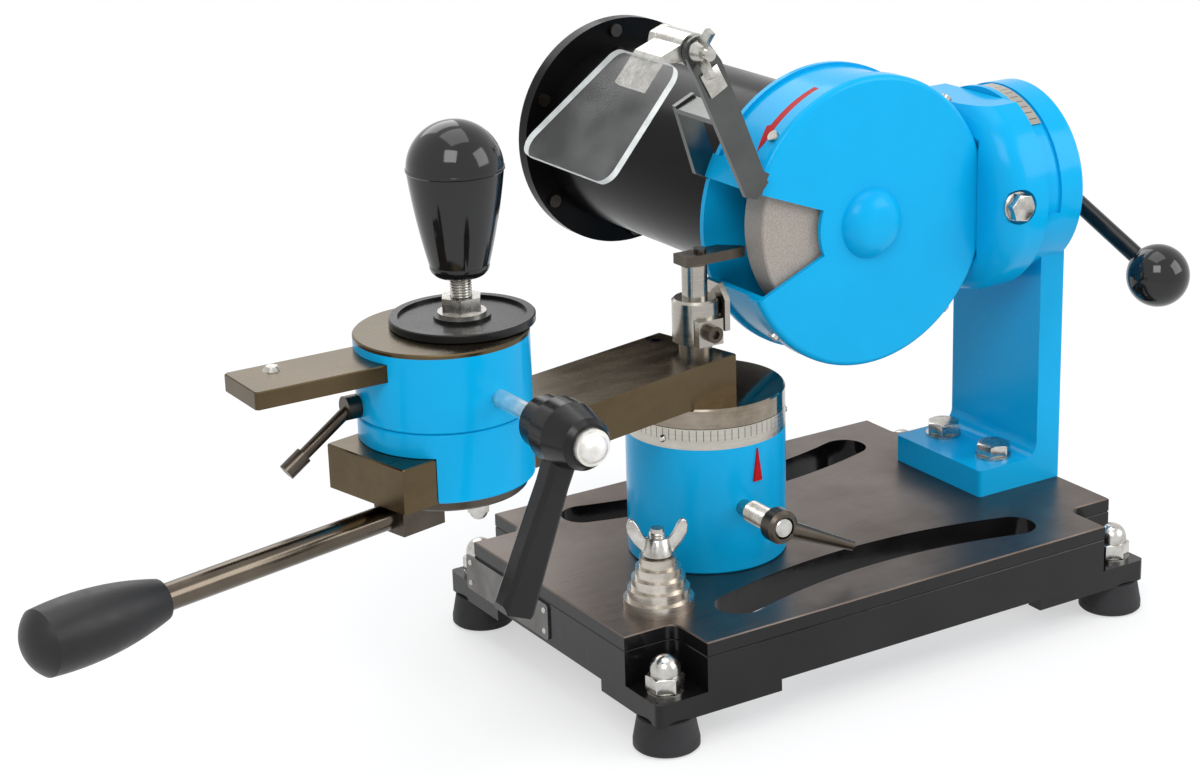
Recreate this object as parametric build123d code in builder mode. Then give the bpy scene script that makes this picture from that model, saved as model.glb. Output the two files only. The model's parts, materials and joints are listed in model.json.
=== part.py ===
from build123d import *
import os
from math import cos, radians, sin

os.makedirs("parts", exist_ok=True)

# Saw and tool grinder. Millimetres, +Z up, front towards -Y. The origin lies on
# the floor, straight below the axis that the long arm swings about.

# Fits
running_fit = 0.05  # radial clearance of anything that turns or slides in a bore
face_gap = 0.3  # flat clearance under a face that turns or slides
joint_gap = 0.5  # between the tilting drum and the column head

# Base
base_left = 95.0  # arm axis to the left end of the base
base_width = 200.0
foot_height = 16.0
foot_radius = 16.0
foot_inset = 12.0
casting_height = 29.0
casting_wall = 9.0
plate_thickness = 7.0
notch_size = 28.0
notch_radius = 6.0
side_pad = 70.0  # length of the full-height casting at each end of a long side
end_pad = 50.0
lug_height = 11.0
stud_radius = 5.0
washer_thickness = 1.5
nut_flats = 16.0
slot_width = 24.0
slot_radius = 280.0
slot_half_angle = 17.6
slot_centre_x = 55.0
slot_apex_y = 58.5  # centre line of each slot where it comes nearest the pivot
slot_lip_depth = 9.0  # rim around each slot, below the plate
slot_lip_width = 4.0

# Pivot and arm
pivot_radius = 40.0
housing_height = 65.0
ring_height = 10.5
turntable_thickness = 9.9
pivot_stub_radius = 12.0
spigot_radius = 20.0
housing_screw_circle = 28.0
housing_screw_radius = 3.0
clamp_x = -4.5
clamp_rise = 33.6
clamp_screw_radius = 4.0
clamp_reach = 74.0  # pivot axis to the outer end of the clamp
clamp_hub_radius = 8.5
arm_angle = 12.85  # the arm points this far past the -X direction
bar_height = 20.8
bar_width = 52.9
bar_across = -3.2  # centre line of the bar, from the pivot axis
bar_start = 1.0
bar_reach = 212.4  # length of the bar

# Tooth rest
post_along = 8.9
post_across = 3.1
post_radius = 6.3
post_socket = 20.0
collar_radius = 11.5
collar_neck = 5.2
collar_height = 21.6
finger_reach = 18.7
finger_thickness = 5.0
finger_drop = 14.0  # finger underside below the spindle

# Work head
head_along = 165.6
head_radius = 39.6
lower_body_height = 32.1
upper_body_height = 34.5
cap_thickness = 2.0
head_plate_inset = 3.6
head_plate_thickness = 5.0
plate_nut_flats = 9.5
plate_nut_height = 4.5
plate_nut_dome = 4.275  # radius of its rounded end
plate_nut_reach = 27.0  # head axis to the cap nut under the plate
flange_radius = 33.0
flange_thickness = 4.0
flange_x = 12.0
flange_y = 2.0
blade_stud_radius = 5.0
index_length = 97.0
index_width = 33.3
index_thickness = 8.0
rod_radius = 6.0
rod_drop = 10.4  # feed rod axis below the underside of the lower body
rod_start = 11.0
rod_end = 224.0
grip_length = 65.0

# Grinding head
wheel_radius = 62.5
wheel_gap = 1.5  # tooth rest to wheel
wheel_width = 16.0
wheel_recess = 27.0  # radius of the recess for the nut and flange
wheel_y = -22.6
guard_clearance = 11.0
guard_front = -27.0
guard_depth = 42.4
guard_skin = 2.5
tilt_height = 160.0  # tilt axis above the table
spindle_rise = 4.0  # spindle above the tilt axis
spindle_radius = 8.0
motor_radius = 51.0
motor_length = 187.0
motor_wall = 4.0
cover_radius = 64.0
cover_thickness = 4.0

# Stepped centring cone
cone_x = -61.7
cone_y = -50.5
cone_radius = 17.0
cone_steps = 5
cone_step_height = 5.2
cone_step_inset = 2.0
cone_stud_radius = 4.0

# Column and tilt drum
column_y = 4.0
column_width = 71.0
column_thickness = 15.4
column_foot_length = 54.0
column_foot_height = 14.5
column_bolt_inset = 33.0
column_bolt_spacing = 42.0
column_head_radius = 50.0
column_head_thickness = 28.0
drum_radius = 55.0
drum_length = 27.5
drum_crown = 16.0  # radius of the drum's rounded left edge
drum_bite = 7.2  # drum reaches this far inside the guard's outer radius
saddle_bite = 7.7  # saddle reaches this far inside the motor's radius
drum_bolt_x = 10.5  # drum bolt from the drum's left face
drum_flat = 47.0  # flat top of the drum above the tilt axis
tilt_stud_radius = 6.0
ball_radius = 16.0
lever_hub_radius = 12.5
lever_hub_length = 21.7

# Levels and places that follow
lug_top = foot_height + lug_height
casting_top = foot_height + casting_height
table_z = casting_top + plate_thickness
nut_z = lug_top + washer_thickness
foot_socket_z = foot_height / 2
housing_top = table_z + housing_height
ring_top = housing_top + ring_height
turntable_z = ring_top + face_gap
bar_z = turntable_z + turntable_thickness
bar_top = bar_z + bar_height
spindle_x = finger_reach + wheel_gap + wheel_radius
guard_radius = wheel_radius + guard_clearance
guard_back = guard_front + guard_depth
tilt_z = table_z + tilt_height
spindle_z = tilt_z + spindle_rise
drum_x = spindle_x + guard_radius - drum_bite
column_head_x = drum_x + drum_length + joint_gap
base_right = column_head_x + column_head_thickness
base_length = base_left + base_right
base_x = (base_right - base_left) / 2
bolt_x = base_right - column_bolt_inset
bolt_rows = (column_y - column_bolt_spacing / 2, column_y + column_bolt_spacing / 2)
wheel_back = wheel_y + wheel_width
web_front = wheel_back - 6.0
motor_back = guard_back + motor_length
finger_z = spindle_z - finger_drop
lower_z = bar_z - face_gap
upper_z = lower_z + lower_body_height + face_gap
cap_z = upper_z + upper_body_height
flange_z = cap_z + cap_thickness
flange_top = flange_z + flange_thickness
plate_z = lower_z - head_plate_thickness
head_plate_radius = head_radius - head_plate_inset
rod_z = lower_z - rod_drop

arm_cos = cos(radians(arm_angle))
arm_sin = sin(radians(arm_angle))
head_x = -head_along * arm_cos + bar_across * arm_sin
head_y = -head_along * arm_sin - bar_across * arm_cos
seat_x = head_x + flange_x
seat_y = head_y + flange_y


def level(z, x=0.0, y=0.0):
    return Plane(origin=(x, y, z))


def facing_front(x, y, z):
    return Plane(origin=(x, y, z), x_dir=(1, 0, 0), z_dir=(0, -1, 0))


def facing_right(x, y, z):
    return Plane(origin=(x, y, z), x_dir=(0, 1, 0), z_dir=(1, 0, 0))


def on_arm(along, across, z):
    x = -along * arm_cos + across * arm_sin
    y = -along * arm_sin - across * arm_cos
    return Plane(origin=(x, y, z), x_dir=(-arm_cos, -arm_sin, 0), z_dir=(0, 0, 1))


def along_arm(along, across, z):
    base = on_arm(along, across, z)
    return Plane(origin=base.origin, x_dir=(0, 0, 1), z_dir=(-arm_cos, -arm_sin, 0))


def disc(plane, radius, length, mode=Mode.ADD):
    with Locations(plane):
        Cylinder(radius, length, align=(Align.CENTER, Align.CENTER, Align.MIN), mode=mode)


def block(plane, x_size, y_size, z_size, mode=Mode.ADD):
    with Locations(plane):
        Box(x_size, y_size, z_size, align=(Align.CENTER, Align.CENTER, Align.MIN), mode=mode)


def hexagon(plane, across_flats, length):
    with BuildSketch(plane, mode=Mode.PRIVATE) as outline:
        RegularPolygon(across_flats / 2, side_count=6, major_radius=False)
    extrude(outline.sketch, amount=length)


def ring_sector(plane, inner, outer, start, end, length, mode=Mode.ADD):
    with BuildSketch(plane, mode=Mode.PRIVATE) as outline:
        with BuildLine():
            rim = CenterArc((0, 0), outer, start, end - start)
            hub = CenterArc((0, 0), inner, start, end - start)
            Line(rim @ 0, hub @ 0)
            Line(rim @ 1, hub @ 1)
        make_face()
    extrude(outline.sketch, amount=length, mode=mode)


def tapered_rod(start, end, start_radius, end_radius):
    path = Vector(*end) - Vector(*start)
    plane = Plane(origin=start, z_dir=path)
    with Locations(plane):
        Cone(start_radius, end_radius, path.length, align=(Align.CENTER, Align.CENTER, Align.MIN))


def straight_rod(start, end, radius):
    path = Vector(*end) - Vector(*start)
    disc(Plane(origin=start, z_dir=path), radius, path.length)


def save(built, name):
    built.part.label = name
    export_step(built.part, "parts/" + name + ".step")


# ---------------------------------------------------------------- base
with BuildPart() as base_casting:
    with BuildSketch(level(foot_height, base_x)):
        RectangleRounded(base_length, base_width, 3)
    extrude(amount=lug_height)
    with BuildSketch(level(lug_top, base_x)):
        Rectangle(base_length, base_width)
        with GridLocations(base_length, base_width, 2, 2):
            RectangleRounded(2 * notch_size, 2 * notch_size, notch_radius, mode=Mode.SUBTRACT)
    extrude(amount=casting_height - lug_height)
    with BuildSketch(level(foot_height, base_x)):
        Rectangle(base_length - 2 * casting_wall, base_width - 2 * casting_wall)
        with GridLocations(base_length, base_width, 2, 2):
            Rectangle(
                2 * (notch_size + casting_wall),
                2 * (notch_size + casting_wall),
                mode=Mode.SUBTRACT,
            )
    extrude(amount=casting_height, mode=Mode.SUBTRACT)
    with BuildSketch(level(foot_height, base_x)):
        Rectangle(base_length - 2 * side_pad, base_width)
        Rectangle(base_length, base_width - 2 * end_pad)
    extrude(amount=6, mode=Mode.SUBTRACT)
    with BuildSketch(level(foot_height, base_x)):
        with GridLocations(base_length - 2 * foot_inset, base_width - 2 * foot_inset, 2, 2):
            Circle(stud_radius + running_fit)
    extrude(amount=lug_height, mode=Mode.SUBTRACT)
    chamfer(base_casting.edges().group_by(Axis.Z)[-1].filter_by(GeomType.LINE), 0.8)
save(base_casting, "base_casting")

with BuildPart() as table_top:
    with BuildSketch(level(casting_top, base_x)):
        Rectangle(base_length, base_width)
        with GridLocations(base_length, base_width, 2, 2):
            RectangleRounded(2 * notch_size, 2 * notch_size, notch_radius, mode=Mode.SUBTRACT)
    extrude(amount=plate_thickness)
    for side in (-1, 1):
        centre_y = side * (slot_apex_y + slot_radius)
        slot_line = CenterArc(
            (slot_centre_x, centre_y),
            slot_radius,
            -90 * side - slot_half_angle,
            2 * slot_half_angle,
        )
        with BuildSketch(level(casting_top - slot_lip_depth)):
            SlotArc(slot_line, slot_width + 2 * slot_lip_width)
        extrude(amount=slot_lip_depth)
        with BuildSketch(level(casting_top - slot_lip_depth)):
            SlotArc(slot_line, slot_width)
        extrude(amount=slot_lip_depth + plate_thickness, mode=Mode.SUBTRACT)
    with BuildSketch(level(casting_top)):
        with PolarLocations(housing_screw_circle, 3, start_angle=90):
            Circle(housing_screw_radius)
        with Locations((cone_x, cone_y)):
            Circle(cone_stud_radius)
    extrude(amount=plate_thickness, mode=Mode.SUBTRACT)
    with BuildSketch(level(casting_top)):
        with Locations(*[(bolt_x, y) for y in bolt_rows]):
            Circle(stud_radius)
    extrude(amount=plate_thickness, mode=Mode.SUBTRACT)
    chamfer(table_top.faces().sort_by(Axis.Z)[-1].outer_wire().edges(), 0.6)
save(table_top, "table_top")

with BuildPart() as name_plate:
    block(level(casting_top - 20.5, -base_left - 0.5, 38.4), 1, 82, 19)
    fillet(name_plate.edges().filter_by(Axis.X), 2)
save(name_plate, "name_plate")

corners = GridLocations(base_length - 2 * foot_inset, base_width - 2 * foot_inset, 2, 2).locations
corner_points = [(base_x + place.position.X, place.position.Y) for place in corners]

with BuildPart() as rubber_feet:
    for x, y in corner_points:
        foot_plane = Plane(origin=(x, y, 0), x_dir=(1, 0, 0), z_dir=(0, -1, 0))
        with BuildSketch(foot_plane) as foot_profile:
            with BuildLine():
                Polyline(
                    (0, 0),
                    (foot_radius - 1, 0),
                    (foot_radius, 1),
                    (foot_radius, 4),
                    (foot_radius - 2.3, foot_height),
                    (stud_radius, foot_height),
                    (stud_radius, foot_socket_z),
                    (0, foot_socket_z),
                    close=True,
                )
            make_face()
        revolve(axis=Axis((x, y, 0), (0, 0, 1)))
save(rubber_feet, "rubber_feet")

with BuildPart() as foot_studs:
    for x, y in corner_points:
        disc(level(foot_socket_z, x, y), stud_radius, nut_z + 13 - foot_socket_z)
save(foot_studs, "foot_studs")

with BuildPart() as washers:
    for x, y in corner_points:
        disc(level(lug_top, x, y), 9, washer_thickness)
        disc(level(lug_top, x, y), stud_radius + running_fit, washer_thickness, Mode.SUBTRACT)
    for y in bolt_rows:
        seat = level(table_z + column_foot_height, bolt_x, y)
        disc(seat, 9.5, washer_thickness)
        disc(seat, stud_radius + running_fit, washer_thickness, Mode.SUBTRACT)
save(washers, "washers")

with BuildPart() as acorn_nuts:
    for x, y in corner_points:
        hexagon(level(nut_z, x, y), nut_flats, 8)
        disc(level(nut_z + 8, x, y), 7.4, 2.1)
        with Locations((x, y, nut_z + 10.1)):
            Sphere(7.4)
        disc(level(nut_z, x, y), stud_radius, 13, Mode.SUBTRACT)
save(acorn_nuts, "acorn_nuts")

# ---------------------------------------------------------------- column
column_top = tilt_z + column_head_radius
with BuildPart() as column:
    block(
        level(table_z, base_right - column_foot_length / 2, column_y),
        column_foot_length,
        column_width,
        column_foot_height,
    )
    block(
        level(table_z, base_right - column_thickness / 2, column_y),
        column_thickness,
        column_width,
        tilt_height,
    )
    inner_edge = (
        column.edges()
        .filter_by(Axis.Y)
        .sort_by_distance(
            (base_right - column_thickness, column_y, table_z + column_foot_height)
        )
    )[0]
    fillet(inner_edge, 8)
    disc(
        facing_right(column_head_x, column_y, tilt_z),
        column_head_radius,
        column_head_thickness,
    )
    ring_sector(
        facing_right(column_head_x + 3, column_y, tilt_z),
        column_head_radius - 1.5,
        column_head_radius + 1,
        -10,
        190,
        9.6,
        Mode.SUBTRACT,
    )
    disc(
        facing_right(column_head_x, column_y, tilt_z),
        tilt_stud_radius,
        column_head_thickness,
        Mode.SUBTRACT,
    )
    for y in bolt_rows:
        disc(
            level(table_z, bolt_x, y),
            stud_radius + running_fit,
            column_foot_height,
            Mode.SUBTRACT,
        )
    foot_corners = column.edges().filter_by(Axis.Z).filter_by(
        lambda edge: edge.length < column_foot_height + 1
    )
    fillet(foot_corners, 2)
    back_rim = column.faces().sort_by(Axis.X)[-1].edges().filter_by(GeomType.CIRCLE)
    chamfer(back_rim.sort_by(Axis.Z)[-1], 1.5)
save(column, "column")

with BuildPart() as column_bolts:
    for y in bolt_rows:
        bolt_z = table_z + column_foot_height + washer_thickness
        hexagon(level(bolt_z, bolt_x, y), nut_flats, 6.5)
        disc(level(casting_top, bolt_x, y), stud_radius, bolt_z - casting_top)
save(column_bolts, "column_bolts")

with BuildPart() as tilt_scale:
    ring_sector(
        facing_right(column_head_x + 3.3, column_y, tilt_z),
        column_head_radius - 1.5,
        column_head_radius - 0.3,
        84,
        134,
        7.6,
    )
save(tilt_scale, "tilt_scale")

# ---------------------------------------------------------------- pivot
pivot_bore = pivot_stub_radius + running_fit
clamp_z = table_z + clamp_rise
with BuildPart() as pivot_housing:
    disc(level(table_z), pivot_radius, housing_height)
    disc(level(housing_top), spigot_radius, ring_height - face_gap)
    chamfer(pivot_housing.faces().sort_by(Axis.Z)[0].edges(), 0.8)
    disc(level(table_z), pivot_bore, housing_height + ring_height, Mode.SUBTRACT)
    disc(facing_front(clamp_x, 0, clamp_z), clamp_screw_radius, pivot_radius, Mode.SUBTRACT)
    with BuildSketch(level(table_z)):
        with PolarLocations(housing_screw_circle, 3, start_angle=90):
            Circle(housing_screw_radius)
    extrude(amount=14, mode=Mode.SUBTRACT)
save(pivot_housing, "pivot_housing")

with BuildPart() as housing_screws:
    for place in PolarLocations(housing_screw_circle, 3, start_angle=90).locations:
        spot = place.position
        disc(level(casting_top - 6, spot.X, spot.Y), 5, 6)
        disc(level(casting_top, spot.X, spot.Y), housing_screw_radius, plate_thickness + 12)
save(housing_screws, "housing_screws")

with BuildPart() as scale_ring:
    disc(level(housing_top), pivot_radius, ring_height)
    disc(level(housing_top), spigot_radius, ring_height, Mode.SUBTRACT)
    for angle in (-154.8, -25.2):
        pin_dir = Vector(cos(radians(angle)), sin(radians(angle)), 0)
        pin_plane = Plane(
            origin=(0, 0, housing_top + 4.6), x_dir=(0, 0, 1), z_dir=pin_dir
        )
        disc(pin_plane.offset(pivot_radius - 6), 1.8, 8, Mode.SUBTRACT)
save(scale_ring, "scale_ring")

with BuildPart() as ring_pins:
    for angle in (-154.8, -25.2):
        pin_dir = Vector(cos(radians(angle)), sin(radians(angle)), 0)
        pin_plane = Plane(
            origin=(0, 0, housing_top + 4.6), x_dir=(0, 0, 1), z_dir=pin_dir
        )
        disc(pin_plane.offset(pivot_radius - 6), 1.8, 6.6)
        with Locations(pin_plane.offset(pivot_radius + 0.6)):
            Cone(1.8, 1.0, 0.7, align=(Align.CENTER, Align.CENTER, Align.MIN))
save(ring_pins, "ring_pins")

with BuildPart() as pivot_pointer:
    pointer_dir = Vector(cos(radians(-85)), sin(radians(-85)), 0)
    pointer_plane = Plane(
        origin=(0, 0, housing_top - 2),
        x_dir=(-sin(radians(-85)), cos(radians(-85)), 0),
        z_dir=pointer_dir,
    )
    with BuildSketch(pointer_plane.offset(pivot_radius - 1)):
        with BuildLine():
            Polyline((0, 0), (-2.6, -17), (2.6, -17), close=True)
        make_face()
    extrude(amount=2)
    disc(level(table_z), pivot_radius, housing_height, Mode.SUBTRACT)
save(pivot_pointer, "pivot_pointer")

# ---------------------------------------------------------------- centring cone
cone_top = table_z + cone_steps * cone_step_height
with BuildPart() as cone_stud:
    hexagon(level(casting_top - 5.5, cone_x, cone_y), 13, 5.5)
    disc(level(casting_top, cone_x, cone_y), cone_stud_radius, cone_top + 14 - casting_top)
save(cone_stud, "cone_stud")

with BuildPart() as centring_cone:
    for step in range(cone_steps):
        disc(
            level(table_z + step * cone_step_height, cone_x, cone_y),
            cone_radius - cone_step_inset * step,
            cone_step_height,
        )
    disc(level(table_z, cone_x, cone_y), cone_stud_radius, cone_top - table_z, Mode.SUBTRACT)
save(centring_cone, "centring_cone")

wing_angle = -32.0
with BuildPart() as wing_nut:
    with Locations(level(cone_top + 0.2, cone_x, cone_y)):
        Cone(7.5, 5.5, 9, align=(Align.CENTER, Align.CENTER, Align.MIN))
    wing_plane = Plane(
        origin=(cone_x, cone_y, cone_top),
        x_dir=(cos(radians(wing_angle)), sin(radians(wing_angle)), 0),
        z_dir=(sin(radians(wing_angle)), -cos(radians(wing_angle)), 0),
    )
    for side in (-1, 1):
        with BuildSketch(wing_plane.offset(-1.5)):
            with BuildLine():
                Polyline(
                    (side * 4.5, 1.5),
                    (side * 7.5, 1.5),
                    (side * 14.5, 12),
                    (side * 14, 19),
                    (side * 9.5, 18),
                    (side * 4.5, 8.5),
                    close=True,
                )
            make_face()
        extrude(amount=3)
    disc(level(cone_top, cone_x, cone_y), cone_stud_radius + running_fit, 22, Mode.SUBTRACT)
save(wing_nut, "wing_nut")

# ---------------------------------------------------------------- pivot clamp lever
with BuildPart() as pivot_lever:
    disc(
        facing_front(clamp_x, -(pivot_bore + face_gap), clamp_z),
        clamp_screw_radius - running_fit,
        clamp_reach - pivot_bore - face_gap,
    )
    disc(facing_front(clamp_x, -pivot_radius - 9, clamp_z), 5.5, clamp_reach - pivot_radius - 9)
    chamfer(pivot_lever.faces().sort_by(Axis.Y)[0].edges(), 1)
save(pivot_lever, "pivot_lever")

clamp_hub_y = -clamp_reach + 9.0
with BuildPart() as pivot_handle:
    disc(facing_front(clamp_x, clamp_hub_y, clamp_z), clamp_hub_radius, 9)
    chamfer(pivot_handle.faces().sort_by(Axis.Y)[0].edges(), 1.5)
    chamfer(pivot_handle.faces().sort_by(Axis.Y)[-1].edges(), 1)
    tapered_rod(
        (clamp_x + 4, clamp_hub_y - 5.0, clamp_z - 2),
        (clamp_x + 43.0, clamp_hub_y - 5.5, clamp_z - 20.5),
        4.4,
        2.4,
    )
    disc(facing_front(clamp_x, -pivot_radius - 5, clamp_z), 5.5, 60, Mode.SUBTRACT)
save(pivot_handle, "pivot_handle")

# ---------------------------------------------------------------- arm
screw_along = 10.3
screw_across = -22.7
with BuildPart() as turntable_disc:
    disc(level(turntable_z), pivot_radius, turntable_thickness)
    disc(level(table_z + 8), pivot_stub_radius, turntable_z - table_z - 8)
    chamfer(turntable_disc.faces().sort_by(Axis.Z)[-1].edges(), 0.8)
    disc(on_arm(screw_along, screw_across, turntable_z + 1), 3, turntable_thickness, Mode.SUBTRACT)
    disc(on_arm(24, 6, turntable_z + 1), 4, turntable_thickness, Mode.SUBTRACT)
save(turntable_disc, "turntable_disc")

with BuildPart() as arm_bar:
    block(on_arm(bar_start + bar_reach / 2, bar_across, bar_z), bar_reach, bar_width, bar_height)
    chamfer(arm_bar.edges().filter_by(Axis.Z), 0.8)
    chamfer(arm_bar.faces().sort_by(Axis.Z)[-1].edges(), 0.6)
    disc(on_arm(screw_along, screw_across, bar_z), 3 + running_fit, bar_height, Mode.SUBTRACT)
    disc(on_arm(screw_along, screw_across, bar_top - 6), 5.3, 6, Mode.SUBTRACT)
    disc(on_arm(24, 6, bar_z), 4, 10, Mode.SUBTRACT)
    disc(
        on_arm(post_along, post_across, bar_top - post_socket),
        post_radius + running_fit,
        post_socket,
        Mode.SUBTRACT,
    )
save(arm_bar, "arm_bar")

with BuildPart() as arm_screws:
    disc(on_arm(screw_along, screw_across, bar_top - 6), 5, 5.6)
    disc(on_arm(screw_along, screw_across, turntable_z + 1), 3, bar_top - 6 - turntable_z - 1)
    with BuildSketch(on_arm(screw_along, screw_across, bar_top - 3)):
        RegularPolygon(2.5, side_count=6, major_radius=False)
    extrude(amount=4, mode=Mode.SUBTRACT)
    disc(on_arm(24, 6, turntable_z + 1), 4, turntable_thickness - 1 + 9)
save(arm_screws, "arm_screws")

# ---------------------------------------------------------------- tooth rest
post_place = on_arm(post_along, post_across, bar_top)
post_x = post_place.origin.X
post_y = post_place.origin.Y
collar_z = bar_top + collar_neck
collar_top = collar_z + collar_height
with BuildPart() as rest_collar:
    disc(level(bar_top, post_x, post_y), post_radius + 2.0, collar_neck)
    disc(level(collar_z, post_x, post_y), collar_radius, collar_height)
    chamfer(rest_collar.faces().sort_by(Axis.Z)[-1].edges(), 1.2)
    block(level(collar_z, post_x, post_y - collar_radius), 14, 5, 13)
    disc(level(bar_top, post_x, post_y), post_radius + running_fit, 40, Mode.SUBTRACT)
    disc(facing_front(post_x, post_y - 7.5, collar_z + 6.5), 2.5, 10, Mode.SUBTRACT)
    with BuildSketch(facing_right(post_x + collar_radius, post_y, collar_z)):
        with BuildLine():
            Polyline((-9, 4), (-9, 20), (-3, 27), (9, 27), (10, 20), (6, 4), close=True)
        make_face()
    extrude(amount=3)
    with BuildSketch(facing_right(post_x + collar_radius - 4, post_y, collar_z)):
        Rectangle(8, 12, align=(Align.CENTER, Align.MIN))
    extrude(amount=5)
    disc(level(bar_top, post_x, post_y), post_radius + running_fit, 40, Mode.SUBTRACT)
save(rest_collar, "rest_collar")

with BuildPart() as collar_screw:
    disc(facing_front(post_x, post_y - 7.5, collar_z + 6.5), 2.5, 6.5)
    disc(facing_front(post_x, post_y - 14, collar_z + 6.5), 4.2, 4)
    with BuildSketch(facing_front(post_x, post_y - 16, collar_z + 6.5)):
        RegularPolygon(2, side_count=6, major_radius=False)
    extrude(amount=3, mode=Mode.SUBTRACT)
save(collar_screw, "collar_screw")

post_bottom = bar_top - 9.0
with BuildPart() as rest_post:
    disc(level(post_bottom, post_x, post_y), post_radius, finger_z - post_bottom)
    chamfer(rest_post.faces().sort_by(Axis.Z)[0].edges(), 0.8)
save(rest_post, "rest_post")

finger_left = 24.2
with BuildPart() as tooth_finger:
    with BuildSketch(level(finger_z)):
        with BuildLine():
            Polyline(
                (finger_reach, -9.6),
                (finger_reach, -6.5),
                (finger_reach - 9, 1.9),
                (finger_reach - finger_left - 10, 1.9),
                (finger_reach - finger_left - 10, -9.6),
                (finger_reach, -9.6),
            )
        make_face()
    extrude(amount=finger_thickness)
    disc(level(finger_z, post_x + 4, post_y + 1.2), 3.2, finger_thickness + 2)
save(tooth_finger, "tooth_finger")

# ---------------------------------------------------------------- work head, lower part
channel_width = bar_width + 2 * face_gap
upper_bore = 10.0
with BuildPart() as head_base:
    disc(level(lower_z, head_x, head_y), head_radius, lower_body_height)
    fillet(head_base.edges().sort_by(Axis.Z)[0], 1.5)
    chamfer(head_base.edges().sort_by(Axis.Z)[-1], 0.8)
    block(
        on_arm(head_along, bar_across, lower_z),
        3 * head_radius,
        channel_width,
        bar_height + 2 * face_gap,
        Mode.SUBTRACT,
    )
    disc(level(lower_z + 22, head_x, head_y), upper_bore + running_fit, 20, Mode.SUBTRACT)
save(head_base, "head_base")

with BuildPart() as head_plate:
    disc(level(plate_z, head_x, head_y), head_plate_radius, head_plate_thickness)
    chamfer(head_plate.edges().sort_by(Axis.Z)[0], 1.0)
    block(on_arm(head_along + 24, bar_across, plate_z - 13), 24, 20, 14)
    with BuildSketch(level(plate_z - plate_nut_height, head_x, head_y - plate_nut_reach)):
        RegularPolygon(plate_nut_flats / 2, 6, major_radius=False)
    extrude(amount=plate_nut_height)
    with Locations((head_x, head_y - plate_nut_reach, plate_z - plate_nut_height)):
        Sphere(plate_nut_dome)
    disc(along_arm(head_along + rod_start, bar_across, rod_z), rod_radius, 40, Mode.SUBTRACT)
save(head_plate, "head_plate")

with BuildPart() as feed_rod:
    disc(
        along_arm(head_along + rod_start, bar_across, rod_z),
        rod_radius,
        rod_end - rod_start - 12,
    )
    chamfer(feed_rod.edges().filter_by(GeomType.CIRCLE), 0.8)
save(feed_rod, "feed_rod")

grip_plane = on_arm(head_along + rod_end - grip_length, bar_across, rod_z)
grip_section = Plane(
    origin=grip_plane.origin, x_dir=(-arm_cos, -arm_sin, 0), z_dir=(-arm_sin, arm_cos, 0)
)
with BuildPart() as feed_grip:
    with BuildSketch(grip_section):
        with BuildLine():
            crown = CenterArc((grip_length - 18.3, 0), 18.3, 0, 52)
            Line((0, 0), (0, 9))
            ThreePointArc((0, 9), (22, 13.8), crown @ 1)
            Line((grip_length, 0), (0, 0))
        make_face()
    revolve(axis=Axis(grip_section.origin, (-arm_cos, -arm_sin, 0)))
    disc(
        along_arm(head_along + rod_end - grip_length, bar_across, rod_z),
        rod_radius,
        grip_length - 12,
        Mode.SUBTRACT,
    )
save(feed_grip, "feed_grip")

# ---------------------------------------------------------------- work head, upper part
index_z = upper_z + 22.5
lever_x = head_x + 6.8
lever_z = upper_z + 13
lock_y = head_y + 7.5
lock_z = upper_z + 6
lock_hub_x = head_x - head_radius
lock_plane = Plane(
    origin=(lock_hub_x + 13.6, lock_y, lock_z), x_dir=(0, 1, 0), z_dir=(-1, 0, 0)
)
with BuildPart() as head_body:
    disc(level(upper_z, head_x, head_y), head_radius, upper_body_height)
    chamfer(head_body.edges().sort_by(Axis.Z)[0], 0.8)
    disc(level(lower_z + 23, head_x, head_y), upper_bore, 10)
    with BuildSketch(level(index_z, head_x, head_y)):
        with Locations((3, 0)):
            Rectangle(2 * head_radius, index_width + 0.2, align=(Align.MAX, Align.CENTER))
    extrude(amount=index_thickness + 0.2, mode=Mode.SUBTRACT)
    disc(level(upper_z + 10, seat_x, seat_y), blade_stud_radius, 40, Mode.SUBTRACT)
    disc(facing_front(lever_x, head_y - 18, lever_z), 4, head_radius, Mode.SUBTRACT)
    disc(lock_plane, 3, head_radius, Mode.SUBTRACT)
save(head_body, "head_body")

with BuildPart() as head_cap:
    disc(level(cap_z, head_x, head_y), head_radius, cap_thickness)
    chamfer(head_cap.edges().sort_by(Axis.Z)[-1], 0.6)
    disc(level(cap_z, seat_x, seat_y), blade_stud_radius + running_fit, 10, Mode.SUBTRACT)
save(head_cap, "head_cap")

with BuildPart() as blade_flange:
    disc(level(flange_z, seat_x, seat_y), flange_radius, flange_thickness)
    with BuildSketch(level(flange_top - 1.5, seat_x, seat_y)):
        Circle(flange_radius - 4)
        Circle(13, mode=Mode.SUBTRACT)
    extrude(amount=3, mode=Mode.SUBTRACT)
    disc(level(flange_z, seat_x, seat_y), blade_stud_radius + running_fit, 10, Mode.SUBTRACT)
    chamfer(blade_flange.edges().filter_by(GeomType.CIRCLE).sort_by(Edge.length)[-2:], 0.5)
save(blade_flange, "blade_flange")

knob_z = flange_top + 17.8
knob_height = 70.7
knob_radius = 21.7
with BuildPart() as blade_stud:
    disc(level(upper_z + 10, seat_x, seat_y), blade_stud_radius, knob_z + 18 - upper_z - 10)
    chamfer(blade_stud.faces().sort_by(Axis.Z)[-1].edges(), 0.8)
save(blade_stud, "blade_stud")

with BuildPart() as blade_nut:
    disc(level(flange_top, seat_x, seat_y), 11, 1.5)
    hexagon(level(flange_top + 1.5, seat_x, seat_y), 17, 7)
    disc(level(flange_top, seat_x, seat_y), blade_stud_radius, 12, Mode.SUBTRACT)
save(blade_nut, "blade_nut")

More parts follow.
